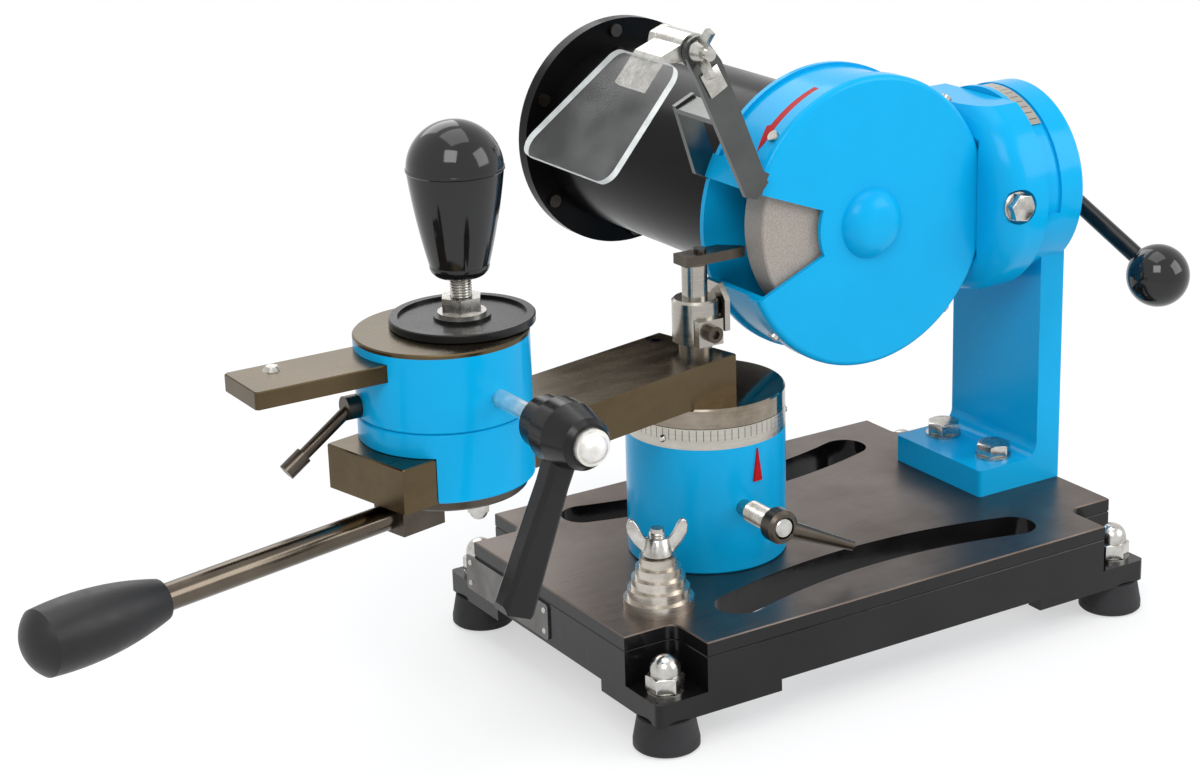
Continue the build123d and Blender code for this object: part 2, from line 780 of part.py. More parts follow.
with BuildPart() as pear_knob:
    with BuildSketch(facing_front(seat_x, seat_y, knob_z)):
        with BuildLine():
            Line((0, 0), (9, 0))
            ThreePointArc((9, 0), (12.2, 1.6), (13.6, 5.7))
            crown = CenterArc((0, knob_height - knob_radius), knob_radius, 0, 90)
            ThreePointArc((13.6, 5.7), (18.2, 26), crown @ 0)
            Line((0, knob_height), (0, 0))
        make_face()
    revolve(axis=Axis((seat_x, seat_y, 0), (0, 0, 1)))
    with BuildSketch(level(knob_z, seat_x, seat_y)):
        Circle(blade_stud_radius + running_fit)
    extrude(amount=18.5, mode=Mode.SUBTRACT)
save(pear_knob, "pear_knob")

with BuildPart() as index_bar:
    with BuildSketch(level(index_z + 0.1, head_x, head_y)):
        with Locations((-1, 0)):
            Rectangle(index_length, index_width, align=(Align.MAX, Align.CENTER))
    extrude(amount=index_thickness)
    chamfer(index_bar.edges().filter_by(Axis.Z), 1.2)
    chamfer(index_bar.faces().sort_by(Axis.Z)[-1].edges(), 0.5)
    disc(level(index_z + 4, head_x - 79, head_y + 8), 3, 10, Mode.SUBTRACT)
save(index_bar, "index_bar")

with BuildPart() as index_screw:
    disc(level(index_z + 4, head_x - 79, head_y + 8), 3, index_thickness - 3.9)
    with Locations(level(index_z + 0.1 + index_thickness, head_x - 79, head_y + 8)):
        Cone(4.2, 2.6, 1.8, align=(Align.CENTER, Align.CENTER, Align.MIN))
save(index_screw, "index_screw")

# ---------------------------------------------------------------- clamp lever of the work head
hub_gap = 31.0  # from the work head to the lever's hub
hub_y = head_y - head_radius - hub_gap
hub_length = 44.0
hub_radius = 14.5
handle_length = 80.0
handle_thickness = 11.0
with BuildPart() as clamp_screw:
    disc(
        facing_front(lever_x, head_y - 18.5, lever_z),
        4 - running_fit,
        head_radius + hub_gap - 18.5 + hub_length + 4,
    )
    disc(facing_front(lever_x, hub_y - hub_length, lever_z), 8, 3)
    with Locations((lever_x, hub_y - hub_length - 1, lever_z)):
        Sphere(7)
    disc(facing_front(lever_x, hub_y - 10, lever_z), 9, hub_length - 10, Mode.SUBTRACT)
    disc(
        facing_front(lever_x, head_y - 18.5, lever_z),
        4 - running_fit,
        head_radius + hub_gap - 18.5 + hub_length + 4,
    )
save(clamp_screw, "clamp_screw")

handle_angle = -112.0
handle_y = hub_y - 26.0
with BuildPart() as clamp_lever:
    with BuildSketch(level(lever_z, lever_x, hub_y)):
        with BuildLine():
            Polyline((hub_radius - 2, -16), (hub_radius - 2.5, -6), (8, 0), (0, 0))
            Line((0, 0), (0, -hub_length))
            Line((0, -hub_length), (9.5, -hub_length))
            Line((9.5, -hub_length), (11.5, -hub_length + 2.5))
            Line((11.5, -hub_length + 2.5), (hub_radius, -hub_length + 16))
            Line((hub_radius, -hub_length + 16), (hub_radius, -18))
            Line((hub_radius, -18), (hub_radius - 2, -16))
        make_face()
    revolve(axis=Axis((lever_x, hub_y, lever_z), (0, 1, 0)))
    handle_plane = Plane(
        origin=(lever_x, handle_y, lever_z),
        x_dir=(cos(radians(handle_angle)), 0, sin(radians(handle_angle))),
        z_dir=(0, -1, 0),
    )
    with BuildSketch(handle_plane.offset(-handle_thickness / 2)):
        with BuildLine():
            Polyline(
                (6, -6.5),
                (22, -6.0),
                (handle_length - 3, -8),
                (handle_length, -6),
                (handle_length, 6),
                (handle_length - 3, 8),
                (22, 6.0),
                (6, 6.5),
                close=True,
            )
        make_face()
    extrude(amount=handle_thickness)
    long_edges = clamp_lever.edges().filter_by(
        lambda edge: edge.length > handle_length * 0.6 and edge.center().Z < lever_z - 20
    )
    fillet(long_edges, 2.5)
    disc(facing_front(lever_x, hub_y + 1, lever_z), 4, hub_length + 2, Mode.SUBTRACT)
save(clamp_lever, "clamp_lever")

with BuildPart() as lock_lever:
    disc(lock_plane, 3 - running_fit, 16)
    disc(lock_plane.offset(13.6), 5.5, 6.5)
    straight_rod(
        (lock_hub_x - 3.4, lock_y, lock_z), (lock_hub_x - 31.4, lock_y, lock_z - 20), 2.8
    )
    straight_rod(
        (lock_hub_x - 27.4, lock_y, lock_z - 17.2),
        (lock_hub_x - 36.4, lock_y, lock_z - 23.6),
        4,
    )
save(lock_lever, "lock_lever")

# ---------------------------------------------------------------- tilting head
saddle_start = spindle_x + motor_radius - saddle_bite
saddle_length = drum_x + 3 - saddle_start
bolt_x_place = drum_x + drum_bolt_x
bolt_seat = column_y - drum_radius + 5.5
with BuildPart() as tilt_drum:
    with BuildSketch(level(tilt_z)):
        with BuildLine():
            crown = CenterArc(
                (drum_x + drum_crown, column_y + drum_radius - drum_crown), drum_crown, 90, 90
            )
            Line(crown @ 1, (drum_x, column_y))
            Line((drum_x, column_y), (drum_x + drum_length, column_y))
            Line((drum_x + drum_length, column_y), (drum_x + drum_length, column_y + drum_radius))
            Line((drum_x + drum_length, column_y + drum_radius), crown @ 0)
        make_face()
    revolve(axis=Axis((drum_x, column_y, tilt_z), (1, 0, 0)))
    block(
        level(tilt_z + drum_flat, drum_x + drum_length / 2, column_y),
        2 * drum_length,
        4 * drum_radius,
        drum_radius,
        Mode.SUBTRACT,
    )
    block(
        level(tilt_z - 26, drum_x + 3 - saddle_length / 2, guard_back + 23),
        saddle_length,
        36,
        52,
    )
    disc(
        facing_front(spindle_x, guard_back + 0.8, tilt_z),
        guard_radius + 0.8,
        guard_depth + 1.6,
        Mode.SUBTRACT,
    )
    disc(
        facing_front(spindle_x, guard_back + 60, spindle_z),
        motor_radius,
        80,
        Mode.SUBTRACT,
    )
    disc(facing_front(bolt_x_place, column_y - 30, tilt_z), 4, 40, Mode.SUBTRACT)
    disc(facing_front(bolt_x_place, bolt_seat, tilt_z), 9, 20, Mode.SUBTRACT)
    disc(
        facing_right(drum_x + 9 - face_gap, column_y, tilt_z),
        tilt_stud_radius + running_fit,
        drum_length,
        Mode.SUBTRACT,
    )
save(tilt_drum, "tilt_drum")

with BuildPart() as tilt_stud:
    disc(
        facing_right(drum_x + 9, column_y, tilt_z),
        tilt_stud_radius,
        base_right - drum_x - 9 + 16,
    )
save(tilt_stud, "tilt_stud")

with BuildPart() as drum_bolt:
    disc(facing_front(bolt_x_place, bolt_seat, tilt_z), 8, 1.5)
    hexagon(facing_front(bolt_x_place, bolt_seat - 1.5, tilt_z), 13, 5.5)
    disc(facing_front(bolt_x_place, bolt_seat + 19, tilt_z), 4, 21)
save(drum_bolt, "drum_bolt")

with BuildPart() as motor_body:
    disc(facing_front(spindle_x, motor_back, spindle_z), motor_radius, motor_length)
    disc(
        facing_front(spindle_x, motor_back + cover_thickness, spindle_z),
        cover_radius,
        cover_thickness,
    )
    fillet(motor_body.edges().filter_by(GeomType.CIRCLE).sort_by(Axis.Y)[0], 2)
    disc(
        facing_front(spindle_x, motor_back + cover_thickness, spindle_z),
        motor_radius - motor_wall,
        motor_length + cover_thickness - 8,
        Mode.SUBTRACT,
    )
    disc(
        facing_front(spindle_x, motor_back, spindle_z),
        spindle_radius + running_fit,
        motor_length,
        Mode.SUBTRACT,
    )
    motor_screw_plane = Plane(
        origin=(spindle_x, motor_back, spindle_z), x_dir=(1, 0, 0), z_dir=(0, -1, 0)
    )
    with BuildSketch(motor_screw_plane.offset(-cover_thickness)):
        with PolarLocations(58, 6, start_angle=94.6):
            Circle(2)
    extrude(amount=cover_thickness, mode=Mode.SUBTRACT)
save(motor_body, "motor_body")

with BuildPart() as motor_stator:
    disc(facing_front(spindle_x, motor_back - 42, spindle_z), motor_radius - motor_wall, 92)
    disc(facing_front(spindle_x, motor_back - 42, spindle_z), 28, 92, Mode.SUBTRACT)
save(motor_stator, "motor_stator")

cover_y = motor_back + cover_thickness
with BuildPart() as motor_cover:
    disc(
        facing_front(spindle_x, cover_y + cover_thickness, spindle_z),
        cover_radius,
        cover_thickness,
    )
    disc(facing_front(spindle_x, cover_y + cover_thickness + 7, spindle_z), 30, 7)
    fillet(motor_cover.edges().filter_by(GeomType.CIRCLE).sort_by(Axis.Y)[-1], 2)
    with BuildSketch(facing_front(spindle_x, cover_y + cover_thickness, spindle_z)):
        with PolarLocations(58, 6, start_angle=94.6):
            Circle(2)
    extrude(amount=cover_thickness, mode=Mode.SUBTRACT)
    disc(
        facing_front(spindle_x, cover_y + 6, spindle_z),
        spindle_radius + running_fit,
        10,
        Mode.SUBTRACT,
    )
save(motor_cover, "motor_cover")

band_outer = guard_radius - 1.7
band_inner = band_outer - guard_skin
window_start = 159.4
window_end = 203.0
skirt_depth = 10.0
with BuildPart() as guard_shell:
    disc(facing_front(spindle_x, guard_back, tilt_z), guard_radius, 3)
    disc(facing_front(spindle_x, guard_back - 3, tilt_z), band_outer, guard_depth - 3 - guard_skin)
    disc(
        facing_front(spindle_x, guard_back - 3, tilt_z), band_inner, guard_depth, Mode.SUBTRACT
    )
    ring_sector(
        facing_front(spindle_x, guard_back - 3, tilt_z),
        band_inner - 5,
        guard_radius + 5,
        window_start,
        window_end,
        guard_depth,
        Mode.SUBTRACT,
    )
    disc(facing_front(spindle_x, guard_back, spindle_z), spindle_radius + 4, 3, Mode.SUBTRACT)
    for angle in (137, 47, 222, 313):
        ray = Vector(cos(radians(angle)), 0, sin(radians(angle)))
        hole_plane = Plane(
            origin=(spindle_x, guard_front + 6, tilt_z), x_dir=(0, 1, 0), z_dir=ray
        )
        disc(hole_plane.offset(band_inner - 2), 1.5, 8, Mode.SUBTRACT)
save(guard_shell, "guard_shell")

with BuildPart() as guard_cover:
    disc(facing_front(spindle_x, guard_front + skirt_depth, tilt_z), guard_radius, skirt_depth)
    fillet(guard_cover.edges().sort_by(Axis.Y)[0], 3)
    disc(
        facing_front(spindle_x, guard_front + skirt_depth, tilt_z),
        guard_radius - 1.5,
        skirt_depth - guard_skin,
        Mode.SUBTRACT,
    )
    with BuildSketch(level(tilt_z, spindle_x, guard_front)):
        with BuildLine():
            Spline((18, 0), (13, -6.2), (0, -8.5), tangents=((-0.35, -1), (-1, 0)))
            Polyline((0, -8.5), (0, 1), (18, 1), (18, 0))
        make_face()
    revolve(axis=Axis((spindle_x, 0, tilt_z), (0, 1, 0)))
    disc(facing_front(spindle_x, guard_front + 1.5, tilt_z), 12, 4, Mode.SUBTRACT)
    ring_sector(
        facing_front(spindle_x, guard_front + skirt_depth, tilt_z),
        31,
        guard_radius + 5,
        window_start,
        window_end,
        skirt_depth + 1,
        Mode.SUBTRACT,
    )
    for angle in (137, 47, 222, 313):
        ray = Vector(cos(radians(angle)), 0, sin(radians(angle)))
        hole_plane = Plane(
            origin=(spindle_x, guard_front + 6, tilt_z), x_dir=(0, 1, 0), z_dir=ray
        )
        disc(hole_plane.offset(guard_radius - 4), 1.5, 8, Mode.SUBTRACT)
save(guard_cover, "guard_cover")

with BuildPart() as case_screws:
    for angle in (137, 47, 222, 313):
        ray = Vector(cos(radians(angle)), 0, sin(radians(angle)))
        hole_plane = Plane(
            origin=(spindle_x, guard_front + 6, tilt_z), x_dir=(0, 1, 0), z_dir=ray
        )
        disc(hole_plane.offset(band_inner), 1.5, guard_radius - band_inner)
        disc(hole_plane.offset(guard_radius), 2.8, 2)
    for place in PolarLocations(58, 6, start_angle=94.6).locations:
        spot = place.position
        disc(
            facing_front(spindle_x + spot.X, cover_y + cover_thickness, spindle_z + spot.Y),
            2,
            2 * cover_thickness,
        )
        disc(
            facing_front(spindle_x + spot.X, motor_back, spindle_z + spot.Y),
            3.6,
            2.4,
        )
save(case_screws, "case_screws")

# ---------------------------------------------------------------- eye shield bracket
lug_angle = 155.0
lug_x = spindle_x + guard_radius * cos(radians(lug_angle))
lug_z = tilt_z + guard_radius * sin(radians(lug_angle))
hinge_x = lug_x - 37.1
hinge_z = lug_z + 68.9
leg_y = guard_front - 1.5
leg_thickness = 3.0
rear_leg_y = guard_back - 6.9
with BuildPart() as shield_bracket:
    ring_sector(
        facing_front(spindle_x, rear_leg_y, tilt_z),
        band_outer + 0.05,
        guard_radius + 8.5,
        lug_angle - 4.2,
        lug_angle + 4.2,
        rear_leg_y - leg_y + leg_thickness,
    )
    disc(
        facing_front(spindle_x, guard_front + skirt_depth + 0.3, tilt_z),
        guard_radius + 0.05,
        40,
        Mode.SUBTRACT,
    )
    with BuildSketch(facing_front(0, leg_y, 0)):
        with BuildLine():
            Polyline(
                (hinge_x - 6.2, hinge_z - 3),
                (hinge_x + 6.2, hinge_z + 3),
                (lug_x - 24.1, lug_z + 62.9),
                (lug_x + 1.7, lug_z + 0.6),
                (lug_x - 4.9, lug_z - 6.6),
                (lug_x - 11.2, lug_z - 4.8),
                (lug_x - 37.4, lug_z + 54.4),
                close=True,
            )
        make_face()
        with Locations((hinge_x, hinge_z)):
            Circle(7)
            Circle(3 + running_fit, mode=Mode.SUBTRACT)
    extrude(amount=leg_thickness)
    with BuildSketch(facing_front(0, rear_leg_y, 0)):
        with BuildLine():
            Polyline(
                (lug_x - 15.1, lug_z + 39.9),
                (lug_x - 3.1, lug_z + 3.4),
                (lug_x - 8.1, lug_z - 3.6),
                (lug_x - 15.1, lug_z - 0.1),
                (lug_x - 26.1, lug_z + 34.9),
                close=True,
            )
        make_face()
    extrude(amount=leg_thickness)
    with BuildSketch(facing_front(0, rear_leg_y, 0)):
        with BuildLine():
            Polyline(
                (lug_x - 25.9, lug_z + 33.9),
                (lug_x - 14.9, lug_z + 38.5),
                (lug_x - 13.9, lug_z + 35.9),
                (lug_x - 24.9, lug_z + 31.3),
                close=True,
            )
        make_face()
    extrude(amount=rear_leg_y - leg_y + leg_thickness)
    disc(
        facing_front(spindle_x, rear_leg_y + 1, tilt_z),
        band_outer + 0.05,
        80,
        Mode.SUBTRACT,
    )
save(shield_bracket, "shield_bracket")

# ---------------------------------------------------------------- eye shield
pane_thickness = 3.0
pane_x = hinge_x - 62.0
pane_z = hinge_z - 50.0
pane_dir = Vector(40.8, 0, 48.0).normalized()
pane_normal = Vector(-pane_dir.Z, 0, pane_dir.X)
pane_origin = Vector(pane_x, 0, pane_z)
with BuildPart() as shield_pane:
    pane_plane = Plane(origin=pane_origin, x_dir=pane_dir, z_dir=pane_normal)
    with BuildSketch(pane_plane.offset(-pane_thickness / 2)) as pane_outline:
        with BuildLine():
            Polyline((0, -49.6), (63, -49.6), (63, 4), (0, 32), close=True)
        make_face()
        fillet(pane_outline.vertices(), 8)
    extrude(amount=pane_thickness)
save(shield_pane, "shield_pane")

with BuildPart() as shield_clamp:
    clamp_plane = Plane(
        origin=(pane_x, -6, pane_z), x_dir=pane_dir, z_dir=(0, -1, 0)
    )
    to_hinge = Vector(hinge_x - pane_x, 0, hinge_z - pane_z)
    hinge_u = to_hinge.dot(pane_dir)
    hinge_v = to_hinge.dot(pane_normal)
    with BuildSketch(clamp_plane):
        with BuildLine():
            Polyline(
                (48, -pane_thickness / 2),
                (66, -pane_thickness / 2),
                (hinge_u + 2, hinge_v + 5.5),
                (hinge_u - 3, hinge_v - 4.5),
                (64, -pane_thickness / 2 - 3),
                (48, -pane_thickness / 2 - 3),
                close=True,
            )
        make_face()
        with Locations((hinge_u, hinge_v)):
            Circle(8)
    extrude(amount=-leg_y - 6 - face_gap)
    disc(facing_front(hinge_x, -20, hinge_z), 3, 22)
    with Locations(facing_front(hinge_x, leg_y - leg_thickness - face_gap, hinge_z)):
        Cone(5.5, 4, 6, align=(Align.CENTER, Align.CENTER, Align.MIN))
    for side in (-1, 1):
        with BuildSketch(facing_right(hinge_x - 1.2, leg_y - leg_thickness - face_gap, hinge_z)):
            with BuildLine():
                Polyline(
                    (-1, side * 3),
                    (-1, side * 5),
                    (-8, side * 12),
                    (-12.5, side * 10),
                    (-6, side * 2.5),
                    close=True,
                )
            make_face()
        extrude(amount=2.4)
save(shield_clamp, "shield_clamp")

# ---------------------------------------------------------------- spindle
with BuildPart() as motor_shaft:
    shaft_front = wheel_y - 0.9
    disc(
        facing_front(spindle_x, cover_y + 5, spindle_z),
        spindle_radius,
        cover_y + 8 - guard_back,
    )
    disc(facing_front(spindle_x, guard_back - 2, spindle_z), 6, guard_back - 2 - shaft_front)
    disc(facing_front(spindle_x, motor_back - 44, spindle_z), 27, 88)
save(motor_shaft, "motor_shaft")

with BuildPart() as grinding_wheel:
    disc(facing_front(spindle_x, wheel_back, spindle_z), wheel_radius, wheel_width)
    chamfer(grinding_wheel.edges().filter_by(GeomType.CIRCLE), 0.8)
    disc(facing_front(spindle_x, web_front, spindle_z), wheel_recess, 20, Mode.SUBTRACT)
    disc(facing_front(spindle_x, wheel_back, spindle_z), 6, 30, Mode.SUBTRACT)
save(grinding_wheel, "grinding_wheel")

with BuildPart() as wheel_flanges:
    disc(facing_front(spindle_x, wheel_back + 3, spindle_z), 18, 3)
    disc(facing_front(spindle_x, web_front, spindle_z), 18, 3)
    hexagon(facing_front(spindle_x, web_front - 3, spindle_z), 17, 6)
    disc(facing_front(spindle_x, wheel_back + 3, spindle_z), 6, 40, Mode.SUBTRACT)
save(wheel_flanges, "wheel_flanges")

# ---------------------------------------------------------------- tilt clamp lever
lever_plane_x = base_right + face_gap + 13.7
ball_y = column_y - 90.9
ball_z = tilt_z - 37.4
with BuildPart() as tilt_lever:
    disc(
        facing_right(base_right + face_gap, column_y, tilt_z), lever_hub_radius, lever_hub_length
    )
    chamfer(tilt_lever.edges().filter_by(GeomType.CIRCLE), 1.5)
    reach = Vector(0, ball_y - column_y, ball_z - tilt_z)
    rod_tip = Vector(lever_plane_x, column_y, tilt_z) + reach * (1 - 6 / reach.length)
    straight_rod((lever_plane_x, column_y, tilt_z), tuple(rod_tip), 4.5)
    disc(
        facing_right(base_right, column_y, tilt_z),
        tilt_stud_radius + running_fit,
        18,
        Mode.SUBTRACT,
    )
save(tilt_lever, "tilt_lever")

with BuildPart() as ball_knob:
    with Locations((lever_plane_x, ball_y, ball_z)):
        Sphere(ball_radius)
    rod_axis = Plane(origin=(lever_plane_x, ball_y, ball_z), z_dir=-reach)
    disc(rod_axis.offset(-6), 4.5, 40, Mode.SUBTRACT)
    flat_plane = rod_axis.offset(ball_radius - 2)
    disc(flat_plane, ball_radius, 10, Mode.SUBTRACT)
save(ball_knob, "ball_knob")
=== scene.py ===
import json
import math

import bpy
from mathutils import Matrix, Vector


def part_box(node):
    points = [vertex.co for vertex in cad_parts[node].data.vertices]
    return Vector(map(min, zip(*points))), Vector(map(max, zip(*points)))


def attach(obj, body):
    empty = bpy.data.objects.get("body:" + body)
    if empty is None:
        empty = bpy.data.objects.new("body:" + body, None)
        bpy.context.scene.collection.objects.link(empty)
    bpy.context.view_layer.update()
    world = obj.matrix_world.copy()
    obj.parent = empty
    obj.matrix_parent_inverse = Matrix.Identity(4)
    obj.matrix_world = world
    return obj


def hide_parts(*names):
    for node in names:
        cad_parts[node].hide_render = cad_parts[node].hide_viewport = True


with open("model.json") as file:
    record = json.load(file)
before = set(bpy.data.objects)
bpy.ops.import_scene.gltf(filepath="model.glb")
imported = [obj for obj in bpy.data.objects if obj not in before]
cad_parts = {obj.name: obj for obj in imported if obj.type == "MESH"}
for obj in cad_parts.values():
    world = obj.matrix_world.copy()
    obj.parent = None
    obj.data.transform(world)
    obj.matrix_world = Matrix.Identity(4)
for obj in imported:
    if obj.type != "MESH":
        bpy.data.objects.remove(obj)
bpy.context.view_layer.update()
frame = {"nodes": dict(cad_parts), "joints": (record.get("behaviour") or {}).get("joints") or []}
nodes = frame["nodes"]
mm = 0.001

# what the camera sees, in metres and degrees
view = {
    "eye": (-0.6712, -1.0159, 0.5543),
    "heading": 57.776,
    "pitch": 19.0,
    "roll": -1.44,
    "lens": 77.92,  # millimetres, like the sensor
    "sensor": 36,
    "shift": (-0.0432, 0.0005),
    "farthest": 20,
}


def placeCamera():
    heading, pitch, roll = (math.radians(view[key]) for key in ("heading", "pitch", "roll"))
    ahead = math.cos(pitch)
    forward = Vector((math.cos(heading) * ahead, math.sin(heading) * ahead, -math.sin(pitch)))
    level = Vector((math.sin(heading), -math.cos(heading), 0))
    upright = level.cross(forward)
    right = level * math.cos(roll) + upright * math.sin(roll)
    up = upright * math.cos(roll) - level * math.sin(roll)
    camera = bpy.data.objects.new("camera", bpy.data.cameras.new("camera"))
    bpy.context.scene.collection.objects.link(camera)
    camera.data.sensor_width = view["sensor"]
    camera.data.lens = view["lens"]
    camera.data.shift_x, camera.data.shift_y = view["shift"]
    camera.data.clip_end = view["farthest"]
    turn = Matrix((right, up, -forward)).transposed().to_4x4()
    camera.matrix_world = Matrix.Translation(view["eye"]) @ turn
    bpy.context.scene.camera = camera


placeCamera()
bpy.context.scene.view_settings.view_transform = "Standard"
print("camera placed")


class Value:
    # a socket that can be used in sums, such as 1 - grain * 0.3
    def __init__(self, finish, node, socket):
        self.finish = finish
        self.node = node
        self.socket = socket

    def out(self, name):
        return Value(self.finish, self.node, self.node.outputs[name])

    def math(self, operation, first, second=0.0):
        return self.finish.add("ShaderNodeMath", {"operation": operation}, {0: first, 1: second})

    def __add__(self, other):
        return self.math("ADD", self, other)

    def __radd__(self, other):
        return self.math("ADD", other, self)

    def __sub__(self, other):
        return self.math("SUBTRACT", self, other)

    def __rsub__(self, other):
        return self.math("SUBTRACT", other, self)

    def __mul__(self, other):
        return self.math("MULTIPLY", self, other)

    def __rmul__(self, other):
        return self.math("MULTIPLY", other, self)


# uneven patterns: noise detail, noise roughness, and the noise that counts as none and as full
patterns = {
    "cloud": (4, 0.6, 0.3, 0.7),
    "smear": (5, 0.65, 0.35, 0.7),
    "stain": (6, 0.62, 0.42, 0.72),
    "haze": (5, 0.6, 0.42, 0.75),
    "sparkle": (1, 0.5, 0.66, 0.72),
}


class Finish:
    # one material: fixed numbers go on the shader, changing ones are fed in
    def __init__(self, name, fixed):
        self.material = bpy.data.materials.new(name)
        self.material.use_nodes = True
        self.tree = self.material.node_tree
        self.shader = next(node for node in self.tree.nodes if node.type == "BSDF_PRINCIPLED")
        for socket, value in fixed.items():
            self.shader.inputs[socket].default_value = value
        self.place = self.add("ShaderNodeTexCoord", {}, {}).out("Object")

    def add(self, nodeType, settings, inputs):
        node = self.tree.nodes.new(nodeType)
        for key, value in settings.items():
            if key == "stops":
                while len(node.color_ramp.elements) < len(value):
                    node.color_ramp.elements.new(0.5)
                for element, (position, colour) in zip(node.color_ramp.elements, value):
                    element.position = position
                    element.color = (*colour, 1)
            else:
                setattr(node, key, value)
        for key, value in inputs.items():
            if isinstance(value, Value):
                self.tree.links.new(value.socket, node.inputs[key])
            else:
                node.inputs[key].default_value = value
        return Value(self, node, next(socket for socket in node.outputs if socket.enabled))

    def feed(self, socket, value):
        self.tree.links.new(value.socket, self.shader.inputs[socket])

    def stretched(self, scale):
        return self.add("ShaderNodeMapping", {}, {"Vector": self.place, "Scale": scale})

    def noise(self, scale, detail, roughness, place=None):
        inputs = {"Vector": place or self.place, "Scale": scale}
        inputs.update({"Detail": detail, "Roughness": roughness})
        return self.add("ShaderNodeTexNoise", {}, inputs)

    def between(self, value, low, high):
        # 0 at the low value and 1 at the high one
        inputs = {"Value": value, "From Min": low, "From Max": high}
        return self.add("ShaderNodeMapRange", {"clamp": True}, inputs)

    def pattern(self, kind, scale):
        detail, roughness, low, high = patterns[kind]
        return self.between(self.noise(scale, detail, roughness), low, high)

    def blend(self, factor, first, second):
        colours = {0: factor, 6: first, 7: second}  # 6 and 7 are the node's two colour sockets
        for key in (6, 7):
            if isinstance(colours[key], tuple):
                colours[key] = (*colours[key][:3], 1)
        return self.add("ShaderNodeMix", {"data_type": "RGBA"}, colours)

    def relief(self, height, strength, distance):
        inputs = {"Height": height, "Strength": strength, "Distance": distance}
        self.feed("Normal", self.add("ShaderNodeBump", {}, inputs))


def shade(colour, factor):
    return tuple(channel * factor for channel in colour)


def ranged(span, share):
    # a value that goes from the first of a pair to the second as the share goes from 0 to 1
    return span[0] + share * (span[1] - span[0])


# painted, moulded and coated finishes: colour, roughness low and high, relief grain per metre,
# relief strength, grain depth, coat, how far the colour varies, scale of that variation, shine
painted = {
    "blueEnamel": ((0.0020, 0.355, 0.680), (0.16, 0.28), 500, 0.06, 0.0003, 0.05, 0.06, 9, 0.10),
    "motorBlack": ((0.0040, 0.0037, 0.0036), (0.18, 0.28), 160, 0.06, 0.0003, 0.02, 0.4, 10, 0.07),
    "castBlack": ((0.0060, 0.0055, 0.0060), (0.10, 0.26), 260, 0.22, 0.0005, 0.12, 0.5, 14, 0.24),
    "satinBlack": ((0.0058, 0.0058, 0.006), (0.20, 0.34), 620, 0.12, 0.0003, 0.05, 0.4, 12, 0.26),
    "glossPlastic": ((0.006, 0.006, 0.0066), (0.06, 0.13), 900, 0.03, 0.0002, 0.15, 0.3, 20, 0.40),
    "mattePlastic": ((0.010, 0.010, 0.011), (0.36, 0.52), 1500, 0.22, 0.0003, 0.0, 0.35, 25, 0.35),
    "footRubber": ((0.014, 0.014, 0.015), (0.50, 0.74), 800, 0.35, 0.0004, 0.0, 0.6, 30, 0.35),
    "redLacquer": ((0.40, 0.004, 0.008), (0.30, 0.42), 900, 0.05, 0.0002, 0.0, 0.12, 40, 0.08),
}

# bare metals: colour, colour of the stains, roughness low and high, streak scale, streak strength,
# stain scale, how much stain
metals = {
    "tableSteel": (
        (0.155, 0.128, 0.112), (0.066, 0.044, 0.031), (0.26, 0.42), (30, 900, 60), 0.03, 11, 0.8,
    ),
    "barSteel": (
        (0.112, 0.083, 0.046), (0.070, 0.049, 0.026), (0.22, 0.30), (40, 90, 90), 0.0, 16, 0.5,
    ),
    "rodSteel": (
        (0.120, 0.100, 0.078), (0.055, 0.043, 0.031), (0.14, 0.22), (60, 60, 60), 0.0, 18, 0.5,
    ),
    "polishedDisc": (
        (0.30, 0.26, 0.21), (0.12, 0.095, 0.065), (0.06, 0.12), (40, 40, 900), 0.03, 45, 0.7,
    ),
    "turnedSteel": (
        (0.44, 0.42, 0.38), (0.20, 0.175, 0.145), (0.14, 0.26), (25, 25, 1400), 0.08, 30, 0.5,
    ),
    "scaleSteel": (
        (0.52, 0.50, 0.45), (0.30, 0.27, 0.22), (0.16, 0.28), (25, 25, 900), 0.06, 30, 0.5,
    ),
    "coneSteel": (
        (0.62, 0.58, 0.52), (0.26, 0.22, 0.17), (0.22, 0.34), (60, 60, 900), 0.08, 40, 0.5,
    ),
    "satinZinc": (
        (0.86, 0.85, 0.82), (0.50, 0.46, 0.40), (0.36, 0.46), (200, 200, 200), 0.04, 60, 0.4,
    ),
    "brightZinc": (
        (0.56, 0.55, 0.52), (0.24, 0.21, 0.17), (0.16, 0.30), (300, 300, 300), 0.06, 110, 0.7,
    ),
    "springSteel": (
        (0.110, 0.118, 0.114), (0.055, 0.052, 0.045), (0.18, 0.28), (120, 120, 120), 0.0, 30, 0.5,
    ),
    "darkSteel": (
        (0.10, 0.085, 0.070), (0.035, 0.027, 0.020), (0.24, 0.40), (200, 200, 200), 0.08, 50, 0.6,
    ),
    "bareAlloy": (
        (0.17, 0.165, 0.16), (0.07, 0.065, 0.06), (0.30, 0.44), (60, 60, 900), 0.05, 50, 0.6,
    ),
    "windingCore": (
        (0.30, 0.17, 0.10), (0.12, 0.06, 0.03), (0.35, 0.55), (40, 1200, 40), 0.3, 40, 0.6,
    ),
}

# what all the painted finishes share, and then all the metals
paintTexture = {"coatRoughness": 0.08, "smearScale": 4, "waveScale": 6, "pits": 0.6, "waves": 0.8}
metalTexture = {
    "streakShades": (0.88, 1.08),
    "streakDepth": 0.0002,  # metres
    "stainDullness": 0.10,
    "grime": (0.02, 0.018, 0.016),  # fills the engraved lines
}


